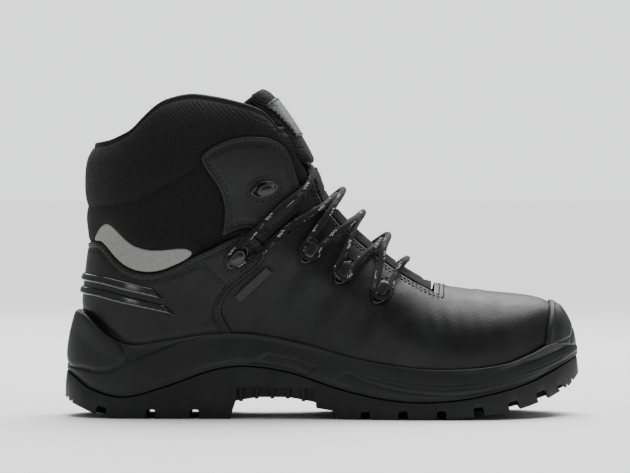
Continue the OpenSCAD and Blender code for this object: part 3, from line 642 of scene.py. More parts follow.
def satin(name, dark, light):
    """Plain satin-woven label."""
    s = Shader(name, 0.42, Specular_IOR_Level=0.4, Sheen_Weight=0.1)
    h, z = s.cloth_space()
    fine = s.math("ADD", s.wave(z, 0.0007), s.math("MULTIPLY", s.wave(h, 0.0021), 0.4))
    s.colour(s.span(s.math("ADD", fine, s.noise(0.003)), -1, 2), grey(dark), grey(light, -0.06))
    s.bump(fine, 0.00008, 0.5)
    return s.material


def metal(name, value=0.5, rough=0.32):
    s = Shader(name, rough, Metallic=1.0)
    s.colour(s.span(s.noise(0.01, 4), 0.3, 0.7), grey(value * 0.8), grey(value, -0.02))
    s.roughness(s.span(s.noise(0.004, 5), 0.3, 0.7), rough * 0.7, rough * 1.4)
    s.bump(s.noise(0.0012, 4), 0.00005, 0.4)
    return s.material


def fibre(name, dark, light):
    s = Shader(name, 0.9)
    s.colour(s.span(s.noise(0.0015, 5, 0.7), 0.3, 0.7), dark, light)
    s.bump(s.noise(0.0009, 4), 0.0002, 0.6)
    return s.material


def make_finishes():
    return {
        "leather": leather("leather"),
        "overlay": leather("overlay_leather", 0.005, 0.009, (0.4, 0.54)),
        "cloth": ribbed_cloth("ballistic_cloth"),
        "lining": mesh_cloth("lining_mesh"),
        "footbed": mesh_cloth("footbed_cloth", 0.02, 0.05),
        "tape": tape("binding_tape"),
        "sole": moulded("outsole_rubber", 0.005, 0.0085, (0.5, 0.66)),
        "midsole": moulded("midsole_foam", 0.0065, 0.0105, (0.4, 0.54)),
        "bumper": moulded("bumper_rubber", 0.0065, 0.0105, (0.38, 0.52)),
        "ribs": gloss("gloss_rubber", 0.006, (0.14, 0.22), 0.8),
        "grey": speckled("reflective_cloth"),
        "thread": thread("black_thread"),
        "hook": gloss("hook_plastic", 0.005, (0.24, 0.38)),
        "rivet": gloss("rivet_enamel", 0.006, (0.12, 0.25)),
        "lace": braid("lace_braid", 0.0025, 0.007),
        "fleck": braid("lace_fleck", 0.22, 0.4),
        "dim_fleck": braid("lace_dim_fleck", 0.04, 0.08),
        "tip": gloss("lace_tip_film", 0.01, (0.1, 0.2)),
        "label": satin("satin_label", 0.012, 0.022),
        "tag": satin("woven_tag", 0.009, 0.018),
        "gusset": tape("gusset_cloth", 0.003, 0.008),
        "steel": metal("spring_steel", 0.45),
        "cap": metal("cap_steel", 0.3, 0.45),
        "board": fibre("fibre_board", (0.36, 0.28, 0.18), (0.52, 0.42, 0.29)),
        "counter": fibre("counter_board", (0.1, 0.085, 0.07), (0.17, 0.15, 0.12)),
        "foam": fibre("padding_foam", grey(0.2), grey(0.3)),
        "edge_foam": fibre("edge_foam", grey(0.06), grey(0.12)),
    }


# ---------------------------------------------------------------- camera, floor and light

def set_camera():
    """Level view of the outer side, through a long lens."""
    data = bpy.data.cameras.new("camera")
    cam = bpy.data.objects.new("camera", data)
    bpy.context.scene.collection.objects.link(cam)
    far = 2.6
    wide = (HIGH[0] - LOW[0]) * 630 / 520
    target = Vector(((LOW[0] + HIGH[0]) / 2 - 0.0145 * (HIGH[0] - LOW[0]), LOW[1] * 0.6, HIGH[2] * 0.546))
    lift = math.radians(1.5)
    cam.location = target + Vector((0, -far * math.cos(lift), far * math.sin(lift)))
    cam.rotation_euler = (target - cam.location).to_track_quat("-Z", "Y").to_euler()
    data.sensor_width = 36
    data.lens = 36 * far / wide
    data.clip_end = 30
    bpy.context.scene.camera = cam


def area_light(name, place_at, target, size, power):
    data = bpy.data.lights.new(name, "AREA")
    data.shape = "RECTANGLE"
    data.size, data.size_y = size
    data.energy = power
    lamp = bpy.data.objects.new(name, data)
    lamp.location = place_at
    lamp.visible_camera = False
    lamp.rotation_euler = (Vector(target) - Vector(place_at)).to_track_quat("-Z", "Y").to_euler()
    bpy.context.scene.collection.objects.link(lamp)


def set_studio():
    s = Shader("floor", 0.7)
    s.colour(s.noise(0.8, 2), grey(0.84), grey(0.86))
    mesh = bpy.data.meshes.new("floor")
    e = 7.0
    mesh.from_pydata([(-e, -e, 0), (e, -e, 0), (e, e, 0), (-e, e, 0)], [], [(0, 1, 2, 3)])
    mesh.materials.append(s.material)
    floor = bpy.data.objects.new("floor", mesh)
    bpy.context.scene.collection.objects.link(floor)
    world = bpy.data.worlds.new("studio")
    world.use_nodes = True
    tree = world.node_tree
    glow = tree.nodes["Background"]
    glow.inputs[0].default_value = (0.97, 0.98, 1.0, 1)
    seen = tree.nodes.new("ShaderNodeMapRange")
    seen.inputs["To Min"].default_value = 0.24
    seen.inputs["To Max"].default_value = 1.75
    tree.links.new(tree.nodes.new("ShaderNodeLightPath").outputs["Is Camera Ray"], seen.inputs["Value"])
    tree.links.new(seen.outputs[0], glow.inputs[1])
    bpy.context.scene.world = world
    data = bpy.data.lights.new("sky_box", "SUN")
    data.energy = 5.5
    data.angle = math.radians(55)
    lamp = bpy.data.objects.new("sky_box", data)
    lamp.rotation_euler = (Vector((-0.12, -0.3, -1))).to_track_quat("-Z", "Y").to_euler()
    bpy.context.scene.collection.objects.link(lamp)
    area_light("front_box", (-0.75, -1.5, 0.85), (0, 0, 0.1), (0.42, 0.42), 1.5)
    area_light("toe_box", (1.15, -0.75, 0.5), (0.08, 0, 0.06), (0.35, 0.8), 1.1)
    area_light("top_box", (0.15, 0.95, 0.85), (0.05, 0, 0.07), (1.8, 0.7), 14)


# ---------------------------------------------------------------- upper: outlines on the side view

QUARTER_TOP = [(-137.4, 103), (-134, 103.6), (-130.5, 103), (-126.9, 99.8), (-121.5, 93.5), (-116, 89),
               (-109.7, 86.3), (-102.5, 85.4), (-95.3, 86.4), (-86.3, 89.9), (-75.4, 95.8), (-64.6, 100.7),
               (-55.5, 105.2), (-46.5, 108.3), (-38.5, 106.3), (-33.7, 101), (-33.2, 95.5), (-37.5, 89),
               (-46.5, 81.8), (-53.7, 75.4), (-58.2, 69), (-59.2, 62.8), (-56.5, 56.5), (-53, 50.6)]
PANEL = [(-134.2, 104.6), (-132.4, 109.5), (-129.5, 113.4), (-126.5, 114.4), (-122.8, 112.2), (-116, 105.4),
         (-110.6, 101.6), (-102.4, 99.3), (-94.3, 99.2), (-84.8, 100.1), (-79.4, 99.7), (-76.6, 97.2),
         (-80, 93.9), (-86.3, 90.6), (-95.3, 87.2), (-102.5, 86.3), (-109.7, 87.2), (-116, 89.9),
         (-121.5, 94.4), (-126.9, 100.7), (-130.5, 103.9)]
PATCH = [(-71.3, 154.2), (-68.2, 157.8), (-62, 161.5), (-52, 164.9), (-41.8, 165.9), (-31.6, 164.7),
         (-24.8, 161), (-20, 155), (-16.5, 145.4), (-13.5, 137), (-9.5, 130), (-14, 122), (-24, 112.5),
         (-31.5, 107), (-37.5, 110.4), (-45, 112), (-52, 110.2), (-59, 107.4), (-58.4, 113), (-57.7, 121),
         (-58.6, 129), (-61.5, 136.5), (-66, 143), (-69.8, 148.8)]
SEAM = [(-137.8, 124.5), (-121.2, 125.7), (-105.9, 130.5), (-94.3, 136.6), (-84.8, 142), (-77.3, 146),
        (-71.3, 149.4)]


def collar_top(x):
    return along(COLLAR, x)


def wall_depth(x, z):
    return mix(5, 9, smooth(85, 125, z) * (1 - smooth(-48, -16, x)))


def rear_grid(low, high, cols, rows, end=1.0, top_rows=None):
    """Flat grid of (a, z) between two height functions of x, spread from the back centre."""
    t = np.linspace(-end, end, cols)
    v = np.linspace(0, 1, rows)
    T, V = np.meshgrid(t, v)
    z = mix(low(T), high(T), V)
    return T * REAR_RUN, z


def by_share(points):
    """Height by t round the heel, from side-view points."""
    p = np.array(points, float)
    line = np.stack([rear_share(p[:, 0], p[:, 1]), p[:, 1]], 1)
    return lambda t: along(line, 1 - np.cos(np.pi / 2 * np.abs(t)))


def puff(x, z):
    """How far the padded collar swells, from 0 to 1, between its seams and panels."""
    flat = np.stack([x.ravel(), z.ravel()], 1)
    d = np.minimum(along(COLLAR, x.ravel()) + 0.5 - flat[:, 1], 40)
    for line in (PATCH, PANEL, QUARTER_TOP + [(-137.4, 50)]):
        gap = distance(flat, resampled(line, 2))
        d = np.minimum(d, np.where(within(flat, line), 0, gap))
    d = np.minimum(d, distance(flat, SEAM, closed=False) + 0.15)
    return crown(np.maximum(d, 0), 11).reshape(x.shape)


def make_collar(f):
    top = by_share(COLLAR)
    a, z = rear_grid(lambda t: 36 + 0 * t, top, 301, 130)
    x = rear_x(a / REAR_RUN, z)
    p = rear_surface(a, z)
    n = grid_normals(p, np.array([-0.08, -0.002, 0.1]))
    swell = 2.3 * puff(x, z) * smooth(64, 80, z) - 2.4 * smooth(-78, -70, x) * (1 - smooth(104, 113, z))
    swell = swell - 1.8 * (1 - smooth(46, 58, z)) * (1 - smooth(-78, -70, x))
    rim = 1 - 0.8 * smooth(-2.5, 0, z - along(COLLAR, x))
    outer = p + n * (swell * rim)[..., None] * THIN
    verts, faces, _ = sheet_mesh(outer, outer - n * 1.6 * THIN)
    piece = place("collar_cloth", verts, faces, f["cloth"])
    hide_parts("collar_textile")
    inner = wall_depth(x, z) - 1.3 * puff(x, z) * smooth(112, 125, z) * smooth(-20, -40, x)
    back = p - n * inner[..., None] * THIN
    verts, faces, _ = sheet_mesh(back + n * 1.2 * THIN, back)
    lining = place("quarter_lining_cloth", verts, faces, f["lining"])
    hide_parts("quarter_lining")
    # foam between the two cloths
    foam = slice(72, 128)
    gap = (wall_depth(x, z) - 1.2 - 1.8)[foam]
    mid = (p - n * 1.8 * THIN)[foam]
    verts, faces, _ = sheet_mesh((mid - n[foam] * 0.4 * THIN)[::3, ::3], (mid - n[foam] * (gap - 0.8)[..., None] * THIN)[::3, ::3])
    pad = place("collar_padding", verts, faces, f["foam"])
    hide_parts("collar_foam")


def make_binding(f):
    """Tape rolled over the collar's top edge, from the outer cloth to the lining."""
    t = np.linspace(-1, 1, 401)
    top = by_share(COLLAR)(t)
    steps = np.linspace(-1, 1, 25)
    rows = []
    for s in steps:
        drop = 2.6 * max(0, (abs(s) - 0.8) / 0.2)
        z = top + 0.2 - drop
        p = rear_surface(t * REAR_RUN, z)
        rows.append(p)
    p = np.array(rows)
    n = grid_normals(rear_surface(*np.meshgrid(t * REAR_RUN, [120, 121])), np.array([-0.08, -0.002, 0.12]))[0]
    n[:, 2] = 0
    n /= np.linalg.norm(n, axis=1)[:, None]
    x = rear_x(t, top)
    depth = wall_depth(x, top)
    up = np.array([0, 0, 1.0])
    verts = []
    for i, s in enumerate(steps):
        across = np.clip(s / 0.8, -1, 1)
        out = mix(0.9, -(depth + 0.6), (np.sin(across * np.pi / 2) + 1) / 2)
        rise = 2.3 * np.sqrt(max(0, 1 - across * across))
        verts.append(p[i] + n * out[:, None] * THIN + up * rise * THIN)
    outer = np.array(verts)
    inner = outer - grid_normals(outer, outer.mean((0, 1)) - [0, 0, 0.06])[:, :] * 0.7 * THIN
    v, faces, _ = sheet_mesh(outer, inner)
    piece = place("collar_edge_tape", v, faces, f["tape"])
    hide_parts("collar_binding")
    low = np.stack([t * REAR_RUN, top - 3.4], 1)[6:-6]
    run = stitch_run(low, rear_surface, 0.5)
    seam = curved(chain(SEAM), 1.5, closed=False)
    runs = [run]
    for side in (1, -1):
        runs.append(stitch_run(seam * [side, 1], rear_surface, 0.25))
    stitches("collar_stitches", runs, f["thread"])


def make_vamp(f):
    ks = np.linspace(-2, TOE, 260)
    ws = np.linspace(-1, 1, 241)
    K, W = np.meshgrid(ks, ws, indexing="ij")
    p = front_surface(K, W)
    n = grid_normals(p, np.array([0.05, 0.0, 0.045]))
    n[-1, :, 1] = 0
    n /= np.linalg.norm(n, axis=-1)[..., None]
    x, z = p[..., 0] / MM[0], p[..., 2] / MM[2]
    edge = np.maximum((np.abs(W) - 0.25) * 95, (K - THROAT) * 11)
    lift = 0.9 * (crown(edge, 1.4) - 1)
    flex = smooth(20, 50, x) * (1 - smooth(84, 108, x)) * smooth(34, 60, z)
    for c, tilt, deep in ((58, 0.30, 0.35), (67, 0.22, 0.5), (77, 0.12, 0.4), (88, 0.05, 0.25)):
        lift = lift - deep * flex * np.exp(-((x - c - (70 - z) * tilt) / 3.2) ** 2)
    for d in (3.2, 6.0):
        lift = lift - 0.3 * np.exp(-((edge - d) / 0.5) ** 2)
    lift = lift + 0.4 * np.exp(-((x - 92 - 0.12 * (70 - z)) / 5) ** 2) * smooth(30, 50, z)
    for c, h in EYELETS:
        fold = np.exp(-((z - h + 13) / 12) ** 2) * smooth(10, 20, edge)
        lift = lift - 1.0 * fold * np.exp(-((x - c + 4 - 0.35 * (z - h)) / 5) ** 2)
        lift = lift + 0.7 * fold * np.exp(-((x - c - 7 - 0.35 * (z - h)) / 5) ** 2)
    mask = ((np.abs(W) >= 0.25) | (K >= THROAT)) & ((K > -0.4) | (z < 112)) & ((K > -1.6) | (z < 100))
    cells = mask[:-1, :-1] & mask[1:, :-1] & mask[:-1, 1:] & mask[1:, 1:]
    outer = p + n * lift[..., None] * THIN
    verts, faces, used = sheet_mesh(outer, p - n * 1.8 * THIN, cells)
    rub = np.r_[np.exp(-np.clip(edge, 0, 50) / 1.0).ravel(), np.zeros(W.size)][used]
    piece = place("vamp_leather", verts, faces, f["leather"], rub=rub)
    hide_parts("vamp")
    # lining under the leather, in its CAD place
    inner = p[::3, ::3]
    m = n[::3, ::3]
    keep = cells[::3, ::3][:inner.shape[0] - 1, :inner.shape[1] - 1] & (K[::3, ::3][:-1, :-1] >= 0)
    verts, faces, _ = sheet_mesh(inner - m * 3.8 * THIN, inner - m * 5 * THIN, keep)
    lining = place("vamp_lining_cloth", verts, faces, f["lining"])
    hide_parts("vamp_lining")
    runs = []
    for d in (3.2, 6.0):
        w = 0.25 + d / 95
        k_end = THROAT + d / 11
        for side in (-1, 1):
            path = np.vstack([np.stack([np.linspace(-0.2, k_end, 160), np.full(160, side * w)], 1),
                              np.stack([np.full(30, k_end), side * np.linspace(w, 0, 30)], 1)])
            pts = front_surface(path[:, 0], path[:, 1])
            h = 0.02
            nn = np.cross(front_surface(path[:, 0] + h, path[:, 1]) - front_surface(path[:, 0] - h, path[:, 1]),
                          front_surface(path[:, 0], path[:, 1] + h) - front_surface(path[:, 0], path[:, 1] - h))
            nn /= np.linalg.norm(nn, axis=1)[:, None]
            nn = nn if np.sum(nn[:, 2]) > 0 else -nn
            runs.append((pts + nn * -0.12 * THIN, nn))
    stitches("vamp_stitches", runs, f["thread"], pitch=2.7, long=1.9, r=0.3)


def make_heel_quarter(f):
    bottom = [(x, along(JOINT, x) - 1.8) for x in np.linspace(-141, -53, 24)]
    outline = wrap(curved(QUARTER_TOP, 2, closed=False), bottom)
    emboss = [curved(chain(p), 1.5, closed=False) for p in (
        [(-70, 92), (-63, 84.5), (-57.3, 78), (-58.2, 75), (-61.5, 71), (-63.7, 67.3), (-64.2, 63), (-63.7, 59), (-59.2, 52.6)],
        [(-72, 90.5), (-80, 86.6), (-90, 82.6)])]

    def relief(flat):
        lift = 0
        mirrored = np.stack([-np.abs(flat[:, 0]), flat[:, 1]], 1)
        for line in emboss:
            lift = lift - 0.5 * np.exp(-(distance(mirrored, line, closed=False) / 0.8) ** 2)
        return lift

    piece = panel("heel_overlay", outline, rear_surface, f["overlay"], 0.3, 1.7, 1.5, 1.5, (2.2, 4.4), relief)
    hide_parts("heel_quarter")
    runs = []
    top = curved(chain(QUARTER_TOP), 1.2, closed=False)
    both = np.vstack([top[::-1], (top * [-1, 1])[1:]])
    run = np.gradient(both, axis=0)
    inward = np.stack([run[:, 1], -run[:, 0]], 1) / np.linalg.norm(run, axis=1)[:, None]
    inward = inward if inward[len(both) // 2, 1] < 0 else -inward
    for d in (2.2, 4.4):
        line = both + inward * d
        line = line[distance(line, both, closed=False) > 0.93 * d]
        runs.append(stitch_run(line, rear_surface, 1.6))
    for line in emboss:
        for side in (1, -1):
            runs.append(stitch_run(line * [side, 1], rear_surface, 1.65))
    stitches("overlay_stitches", runs, f["thread"])


def make_ribs(f):
    uppers = ([(-138.6, 84.6), (-128, 83.4), (-118, 81.3), (-99.5, 76.8)], [(-139, 79.9), (-128, 78.2), (-118, 75.6), (-92.2, 69.4)])
    lowers = ([(-139.8, 77.0), (-129, 75.6), (-118, 72.9), (-92.4, 66.8)], [(-140.3, 72.4), (-129, 70.4), (-118, 67.4), (-85.6, 60.2)])
    for i, (top, bottom) in enumerate((uppers, lowers)):
        outline = wrap(curved(top, 2, closed=False), curved(bottom, 2, closed=False))
        crest = chain(curved(top, 2, closed=False))[::-1]

        def lean(flat, crest=crest):
            """The face of a rib stands out more towards its lower edge."""
            return 0.24 * (np.interp(-np.abs(flat[:, 0]), crest[:, 0], crest[:, 1]) - flat[:, 1])

        panel("heel_rib_%d" % (i + 1), outline, rear_surface, f["ribs"], 1.9, 1.2, 1.0, 0.9, (), lean)
    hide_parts("heel_ribs")


def make_side_panels(f):
    runs = []
    for side, word in ((-1, "lateral"), (1, "medial")):
        face = side_surface(side)
        flip = [1 if side < 0 else -1, 1]
        grey_cloth = panel("grey_panel_" + word, curved(chain(PANEL), 1.3) * flip, rear_surface, f["grey"], 0.3, 0.7, 0.8, 1.4)
        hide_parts("reflective_panel_" + word)
        ring = curved(PATCH, 1.3)
        patch = panel("lace_patch_" + word, ring, face, f["overlay"], 0.45, 1.5, 1.4, 1.5, (2.1, 4.2))
        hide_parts("facing_patch_" + word)
        for d in (2.1, 4.2):
            runs.append(stitch_run(inset(ring, d), face, 1.55))
        strip = curved([(-34.5, 104), (-27, 108.6), (-16, 116), (-4.5, 124.6), (-2.2, 121), (-12, 112.3), (-23, 104.6), (-31, 99.8)], 1.2)
        panel("strip_" + word, strip, face, f["overlay"], 0.1, 1.3, 1.1, 1.3, (1.6,))
        runs.append(stitch_run(inset(strip, 1.6), face, 1.1))
    stitches("patch_stitches", runs, f["thread"])
    turn = math.radians(43)
    c, s = math.cos(turn), math.sin(turn)
    tag = [(-40.7 + c * u - s * v, 79 + s * u + c * v) for u, v in ((-13, -2.6), (13, -2.6), (13, 2.6), (-13, 2.6))]
    piece = panel("side_tag_cloth", resampled(tag, 1), side_surface(-1), f["tag"], 2.2, 0.8, 0.5, 0.9)
    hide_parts("side_tag")


# ---------------------------------------------------------------- tongue

# How far the tongue's edges stand behind its front line, by height, and half its width at the top
TONGUE_BACK = [[151, 5], [154, 7.4], [158, 8], [166, 8.2], [170, 8.6], [175, 11.6], [180, 15.4], [184, 22.6], [196, 24.5]]
TONGUE_HALF = 0.027


def make_tongue(f):
    s, v = np.meshgrid(np.linspace(1, -1, 121), np.linspace(0, 1, 81))
    z0 = mix(151, 196, v)
    z = z0 - 11 * np.abs(s) ** 1.6 * smooth(162, 190, z0)
    x = along(FRONT, z) - along(TONGUE_BACK, z) * np.abs(s) ** 1.5
    p = on_face(x, z, np.where(s < 0, -1, 1))
    wide = np.abs(p[..., 1])
    p[..., 1] *= mix(1, (1 + (wide / TONGUE_HALF) ** 4) ** -0.25, smooth(172, 184, z))
    p[np.abs(s) < 1e-9, 1] = (middle(x, z) * MM[1])[np.abs(s) < 1e-9]
    n = grid_normals(p, np.array([-0.05, 0, 0.15]))
    width, tall = 30.0, 46
    d = np.minimum((1 - np.abs(s)) * width, np.minimum(v * tall + 1, (1 - v) * tall))
    thick = 10.5 * (1 - 0.5 * s * s)
    round_edge = crown(d, 4)
    side_row, top_row = (1 - np.abs(s)) * width - 5, (1 - v) * tall - 2.6
    seam = 0.7 * np.exp(-(side_row / 0.8) ** 2) + 0.6 * np.exp(-(top_row / 0.6) ** 2)
    sink = 2.2 * smooth(0.4, 1, np.abs(s)) * (1 - smooth(176, 184, z))
    outer = p - n * (thick * 0.4 * (1 - round_edge) + seam * 0.6 * smooth(1, 3, d) + sink)[..., None] * THIN
    inner = p - n * (thick - thick * 0.4 * (1 - round_edge) + sink - 0.02)[..., None] * THIN
    verts, faces, _ = sheet_mesh(outer, inner)
    flap = place("tongue_pad", verts, faces, f["cloth"], "tongue_top", angle=70)
    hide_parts("tongue_flap")
    rows = (v[:, 0] > 0.33) & (v[:, 0] < 0.84)
    cols = np.abs(s[0]) < 0.62
    q = (outer + n * 0.25 * THIN)[rows][:, cols]
    m = n[rows][:, cols]
    verts, faces, _ = sheet_mesh(q + m * 0.5 * THIN, q)
    label = place("tongue_label_cloth", verts, faces, f["label"], "tongue_top")
    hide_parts("tongue_label")
    lines = []
    for r in (2, -3):
        lines.append((q[r] + m[r] * 0.5 * THIN, m[r]))
    for c in (2, -3):
        lines.append((q[:, c] + m[:, c] * 0.5 * THIN, m[:, c]))
    stitches("label_stitches", lines, f["thread"], body="tongue_top")
    # lower tongue behind the lacing, quilted across
    ks, ws = np.meshgrid(np.linspace(0.1, 7.97, 150), np.linspace(-2.9, 2.9, 81) / 12, indexing="ij")
    p = front_surface(ks, ws)
    n = grid_normals(p, np.array([0.0, 0.0, 0.03]))
    edge = np.minimum((2.9 / 12 - np.abs(ws)) * 95, np.minimum((ks - 0.1) * 14, (7.97 - ks) * 40))
    quilt = 0.7 * np.exp(-((((ks * 14 + 3) % 17) - 8.5) / 1.1) ** 2) * smooth(2, 5, edge)
    round_edge = crown(edge, 3)
    outer = p - n * (0.5 + 3 * (1 - round_edge) + quilt)[..., None] * THIN
    inner = p - n * (6.5 - 2.9 * (1 - round_edge))[..., None] * THIN
    verts, faces, _ = sheet_mesh(outer, inner)
    lower = place("tongue_lower_pad", verts, faces, f["cloth"], angle=70)
    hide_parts("tongue_lower")
    s, v = np.meshgrid(np.linspace(1, -1, 41), np.linspace(0, 1, 31))
    z = mix(139, 159, v)
    x = along(FRONT, z) - 2.2 * s * s
    p = on_face(x, z, np.where(s < 0, -1, 1))
    p[np.abs(s) < 1e-9, 1] = (middle(x, z) * MM[1])[np.abs(s) < 1e-9]
    n = grid_normals(p, np.array([-0.05, 0, 0.12]))
    verts, faces, _ = sheet_mesh(p - n * 3.6 * THIN, p - n * 6.4 * THIN)
    fold = place("tongue_fold_pad", verts, faces, f["cloth"], None, angle=70)
    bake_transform(fold)
    for side in (-1, 1):
        ks, ws = np.meshgrid(np.linspace(0.3, 7.9, 90), side * np.linspace(2.8, 6.5, 26) / 12, indexing="ij")
        p = front_surface(ks, ws)
        n = grid_normals(p, np.array([0.0, 0.0, 0.03]))
        fold = 0.35 * np.sin(ks * 9) * smooth(0, 0.08, np.abs(ws) - 0.25)
        verts, faces, _ = sheet_mesh(p + n * (fold - 5.6)[..., None] * THIN, p + n * (fold - 6.3)[..., None] * THIN)
        piece = place("gusset_%s" % ("outer" if side < 0 else "inner"), verts, faces, f["gusset"])
    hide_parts("tongue_gusset")


# ---------------------------------------------------------------- sole

RING = 900


def ring_share(count=RING):
    return (1 - np.cos(2 * np.pi * np.arange(count) / count)) / 2


def ring_side(count=RING):
    return np.where(np.arange(count) < count / 2, 1, -1)


def sole_reach(x, side, gap):
    return ((half(x, side) - gap) * round_in((x + 153 - gap) / 40, 2.2)
            * round_in((153 - gap - x) / 64, 2.15))


def even_ring(x_of, y_of, count=RING):
    """Shares round a ring whose steps are even, from a dense one."""
    dense = 6000
    u = np.linspace(0, 1, dense + 1)
    share, side = (1 - np.cos(2 * np.pi * u)) / 2, np.where(u < 0.5, 1, -1)
    x = x_of(share)
    y = y_of(x, side)
    d = np.r_[0, np.cumsum(np.hypot(np.diff(x), np.diff(y)))]
    at = np.interp(np.linspace(0, d[-1], count, endpoint=False), d, u)
    return (1 - np.cos(2 * np.pi * at)) / 2, np.where(at < 0.5, 1, -1)


def sole_ring(share, side, gap):
    x = mix(-153 + gap, 153 - gap, share)
    return x, along(MIDDLE, x) + side * sole_reach(x, side, gap)


def upper_ring(share, side, line, lift, out):
    z0 = along(line, mix(-138, 148, share)) + lift
    x0 = mix(along(BACK, z0), along(FRONT, z0), share)
    z = along(line, x0) + lift
    b, e = along(BACK, z), along(FRONT, z)
    x = mix(b, e, share)
    w = np.where((x > b + 0.01) & (x < e - 0.01), reach(x, z, side), 0)
    return (mix(b - out, e + out, share),
            middle(x, z) + side * (w + out * np.minimum(1, w / 12)), z)


TEARDROP = [(-152, 61), (-141.3, 62), (-134, 57.5), (-127.8, 52), (-122, 47.5), (-118.8, 43.8), (-116, 38.4), (-116.5, 33.9),
            (-119.6, 30.7), (-126, 28.4), (-132.3, 28), (-141.3, 29.4), (-152, 33)]
CHEVRON = [(-46.4, 32.2), (-31.9, 39.1), (-18, 36.2), (-1.2, 31), (-9.7, 25), (-22, 29.6), (-35, 31.8)]
WEDGE = [(-116, 32), (-100.7, 38.4), (-82.6, 45.6), (-69, 48.8)]
BAND = [(5.4, 20.3), (13.2, 26.7), (26, 22), (43, 17.5), (60, 15.3), (77, 14.8), (99.6, 17.5), (122, 22.6), (144.7, 30.5)]


def sole_relief(x, z):
    """Moulded lines and panels in the side of the midsole, in millimetres outwards."""
    flat = np.stack([x.ravel(), z.ravel()], 1)
    lift = np.zeros(len(flat))
    drop = curved(TEARDROP, 2)
    d = distance(flat, drop)
    inside = within(flat, drop)
    lift += np.where(inside, 0.8 * crown(d, 3), 0) - 0.8 * np.exp(-(d / 0.8) ** 2)
    ring = resampled(CHEVRON, 2)
    d = distance(flat, ring)
    lift -= np.where(within(flat, ring), 0.6 * smooth(0, 1.2, d), 0)
    wedge = np.array(curved(WEDGE, 2, False))
    over = flat[:, 1] - np.interp(flat[:, 0], wedge[:, 0], wedge[:, 1], left=99, right=99)
    lift -= 0.9 * smooth(-1.2, 0.6, over) * smooth(-117, -113, flat[:, 0])
    lift -= 0.35 * np.exp(-(distance(flat, curved(BAND, 2, False), False) / 0.8) ** 2)
    for up, deep in ((3.2, 0.16), (5.6, 0.12)):
        line = np.array(curved(BAND[2:], 2, False)) + [0, up]
        lift -= deep * np.exp(-(distance(flat, line, False) / 0.6) ** 2)
    above = flat[:, 1] - along(PARTING, flat[:, 0])
    lift += 0.5 * np.exp(-((above - 1.1) / 0.9) ** 2) - 0.2 * np.exp(-((above - 3.0) / 0.8) ** 2)
    below = along(JOINT, flat[:, 0]) - flat[:, 1]
    return (lift * smooth(0.2, 2.2, below)).reshape(x.shape)


def make_midsole(f):
    share, side = even_ring(lambda s: mix(-151, 151, s), lambda x, sd: along(MIDDLE, x) + sd * sole_reach(x, sd, 2))

    def level(gap, heel, toe, height):
        """Ring round the sole, its heel end drawn in and its toe end pushed out."""
        x, y = sole_ring(share, side, gap)
        z = height(x)
        x = x + heel * (1 - smooth(-152, -122, x)) ** 2 + toe * smooth(128, 153, x)
        return np.stack([x, y, z], -1)

    low = level(2.2, 0, 0.6, lambda x: along(PARTING, x) + 0.15)
    skirt = level(1.2, 0, 0.6, lambda x: along(PARTING, x) + 2.4)
    waist = level(2.0, 1.4, 1.0, lambda x: mix(along(PARTING, x), along(JOINT, x), 0.6))
    brow = level(3.0, 4.6, 1.4, lambda x: along(JOINT, x) - 2.4)
    lip = np.stack(upper_ring(share, side, JOINT, 0, 2.4), -1)
    knots = np.array([low, skirt, waist, brow, lip])
    at = np.array([0, 0.09, 0.6, 0.92, 1.0])
    v = np.unique(np.r_[np.linspace(0, 1, 56), 0.03, 0.06, 0.95, 0.975])
    grid = np.empty((len(v), RING, 3))
    slopes = np.gradient(knots, at, axis=0)
    for r, q in enumerate(v):
        i = min(len(at) - 2, max(0, np.searchsorted(at, q) - 1))
        d = at[i + 1] - at[i]
        t = (q - at[i]) / d
        grid[r] = (knots[i] * (1 + 2 * t) * (1 - t) ** 2 + knots[i + 1] * t * t * (3 - 2 * t)
                   + 0.45 * d * (slopes[i] * t * (1 - t) ** 2 - slopes[i + 1] * t * t * (1 - t)))
    around = np.roll(grid, -1, 1) - np.roll(grid, 1, 1)
    out = np.stack([around[..., 1], -around[..., 0], np.zeros(around.shape[:2])], -1)
    out /= np.linalg.norm(out, axis=-1)[..., None]
    if np.sum(out[0] * (grid[0] - grid[0].mean(0))) < 0:
        out = -out
    fade = smooth(0, 0.03, v) * (1 - smooth(0.97, 1, v))
    lift = np.clip(sole_relief(grid[..., 0], grid[..., 2]), -2, 1.1)
    grid = grid + out * (lift * fade[:, None])[..., None]
    inner = [np.stack(upper_ring(share, side, JOINT, up, gap), -1) for up, gap in ((0.45, 1.8), (0.3, 1.2), (-1.5, 1.0))]
    inner.append(np.stack(upper_ring(share, side, FLOOR, 1.5, 1.0), -1))
    inner.append(np.stack(upper_ring(share, side, FLOOR, -2.3, 0), -1))
    rings = np.vstack([grid, np.array(inner)]) * MM
    rows = len(rings)
    i, j = np.meshgrid(np.arange(rows - 1), np.arange(RING), indexing="ij")
    e = (j + 1) % RING
    faces = [tuple(q) for q in np.stack([i * RING + j, (i + 1) * RING + j, (i + 1) * RING + e, i * RING + e], -1).reshape(-1, 4)]
    faces += [tuple(range(RING)), tuple((rows - 1) * RING + q for q in range(RING))[::-1]]
    if np.cross(rings[1, 0] - rings[0, 0], rings[0, 1] - rings[0, 0]) @ out[0, 0] < 0:
        faces = [q[::-1] for q in faces]
    piece = place("midsole_body", rings.reshape(-1, 3), faces, f["midsole"], angle=60)
    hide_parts("midsole")


TREAD = [[-152.6, 20], [-153, 12], [-148.6, 8.6], [-134, 2.4], [-124, 0], [-54.6, 0], [-51, 10.6],
         [-38, 12.7], [-20, 12.7], [-4, 9.9], [-3.7, 6.6], [6, 5.1], [7.2, 2.1], [10, 0], [73, 0],
         [87.6, 1.8], [109.4, 4.4], [121.8, 7.7], [133.6, 11.8], [146.6, 18.3], [153, 25]]
GROOVES = [-101, -75.4, 25, 47, 69.5]
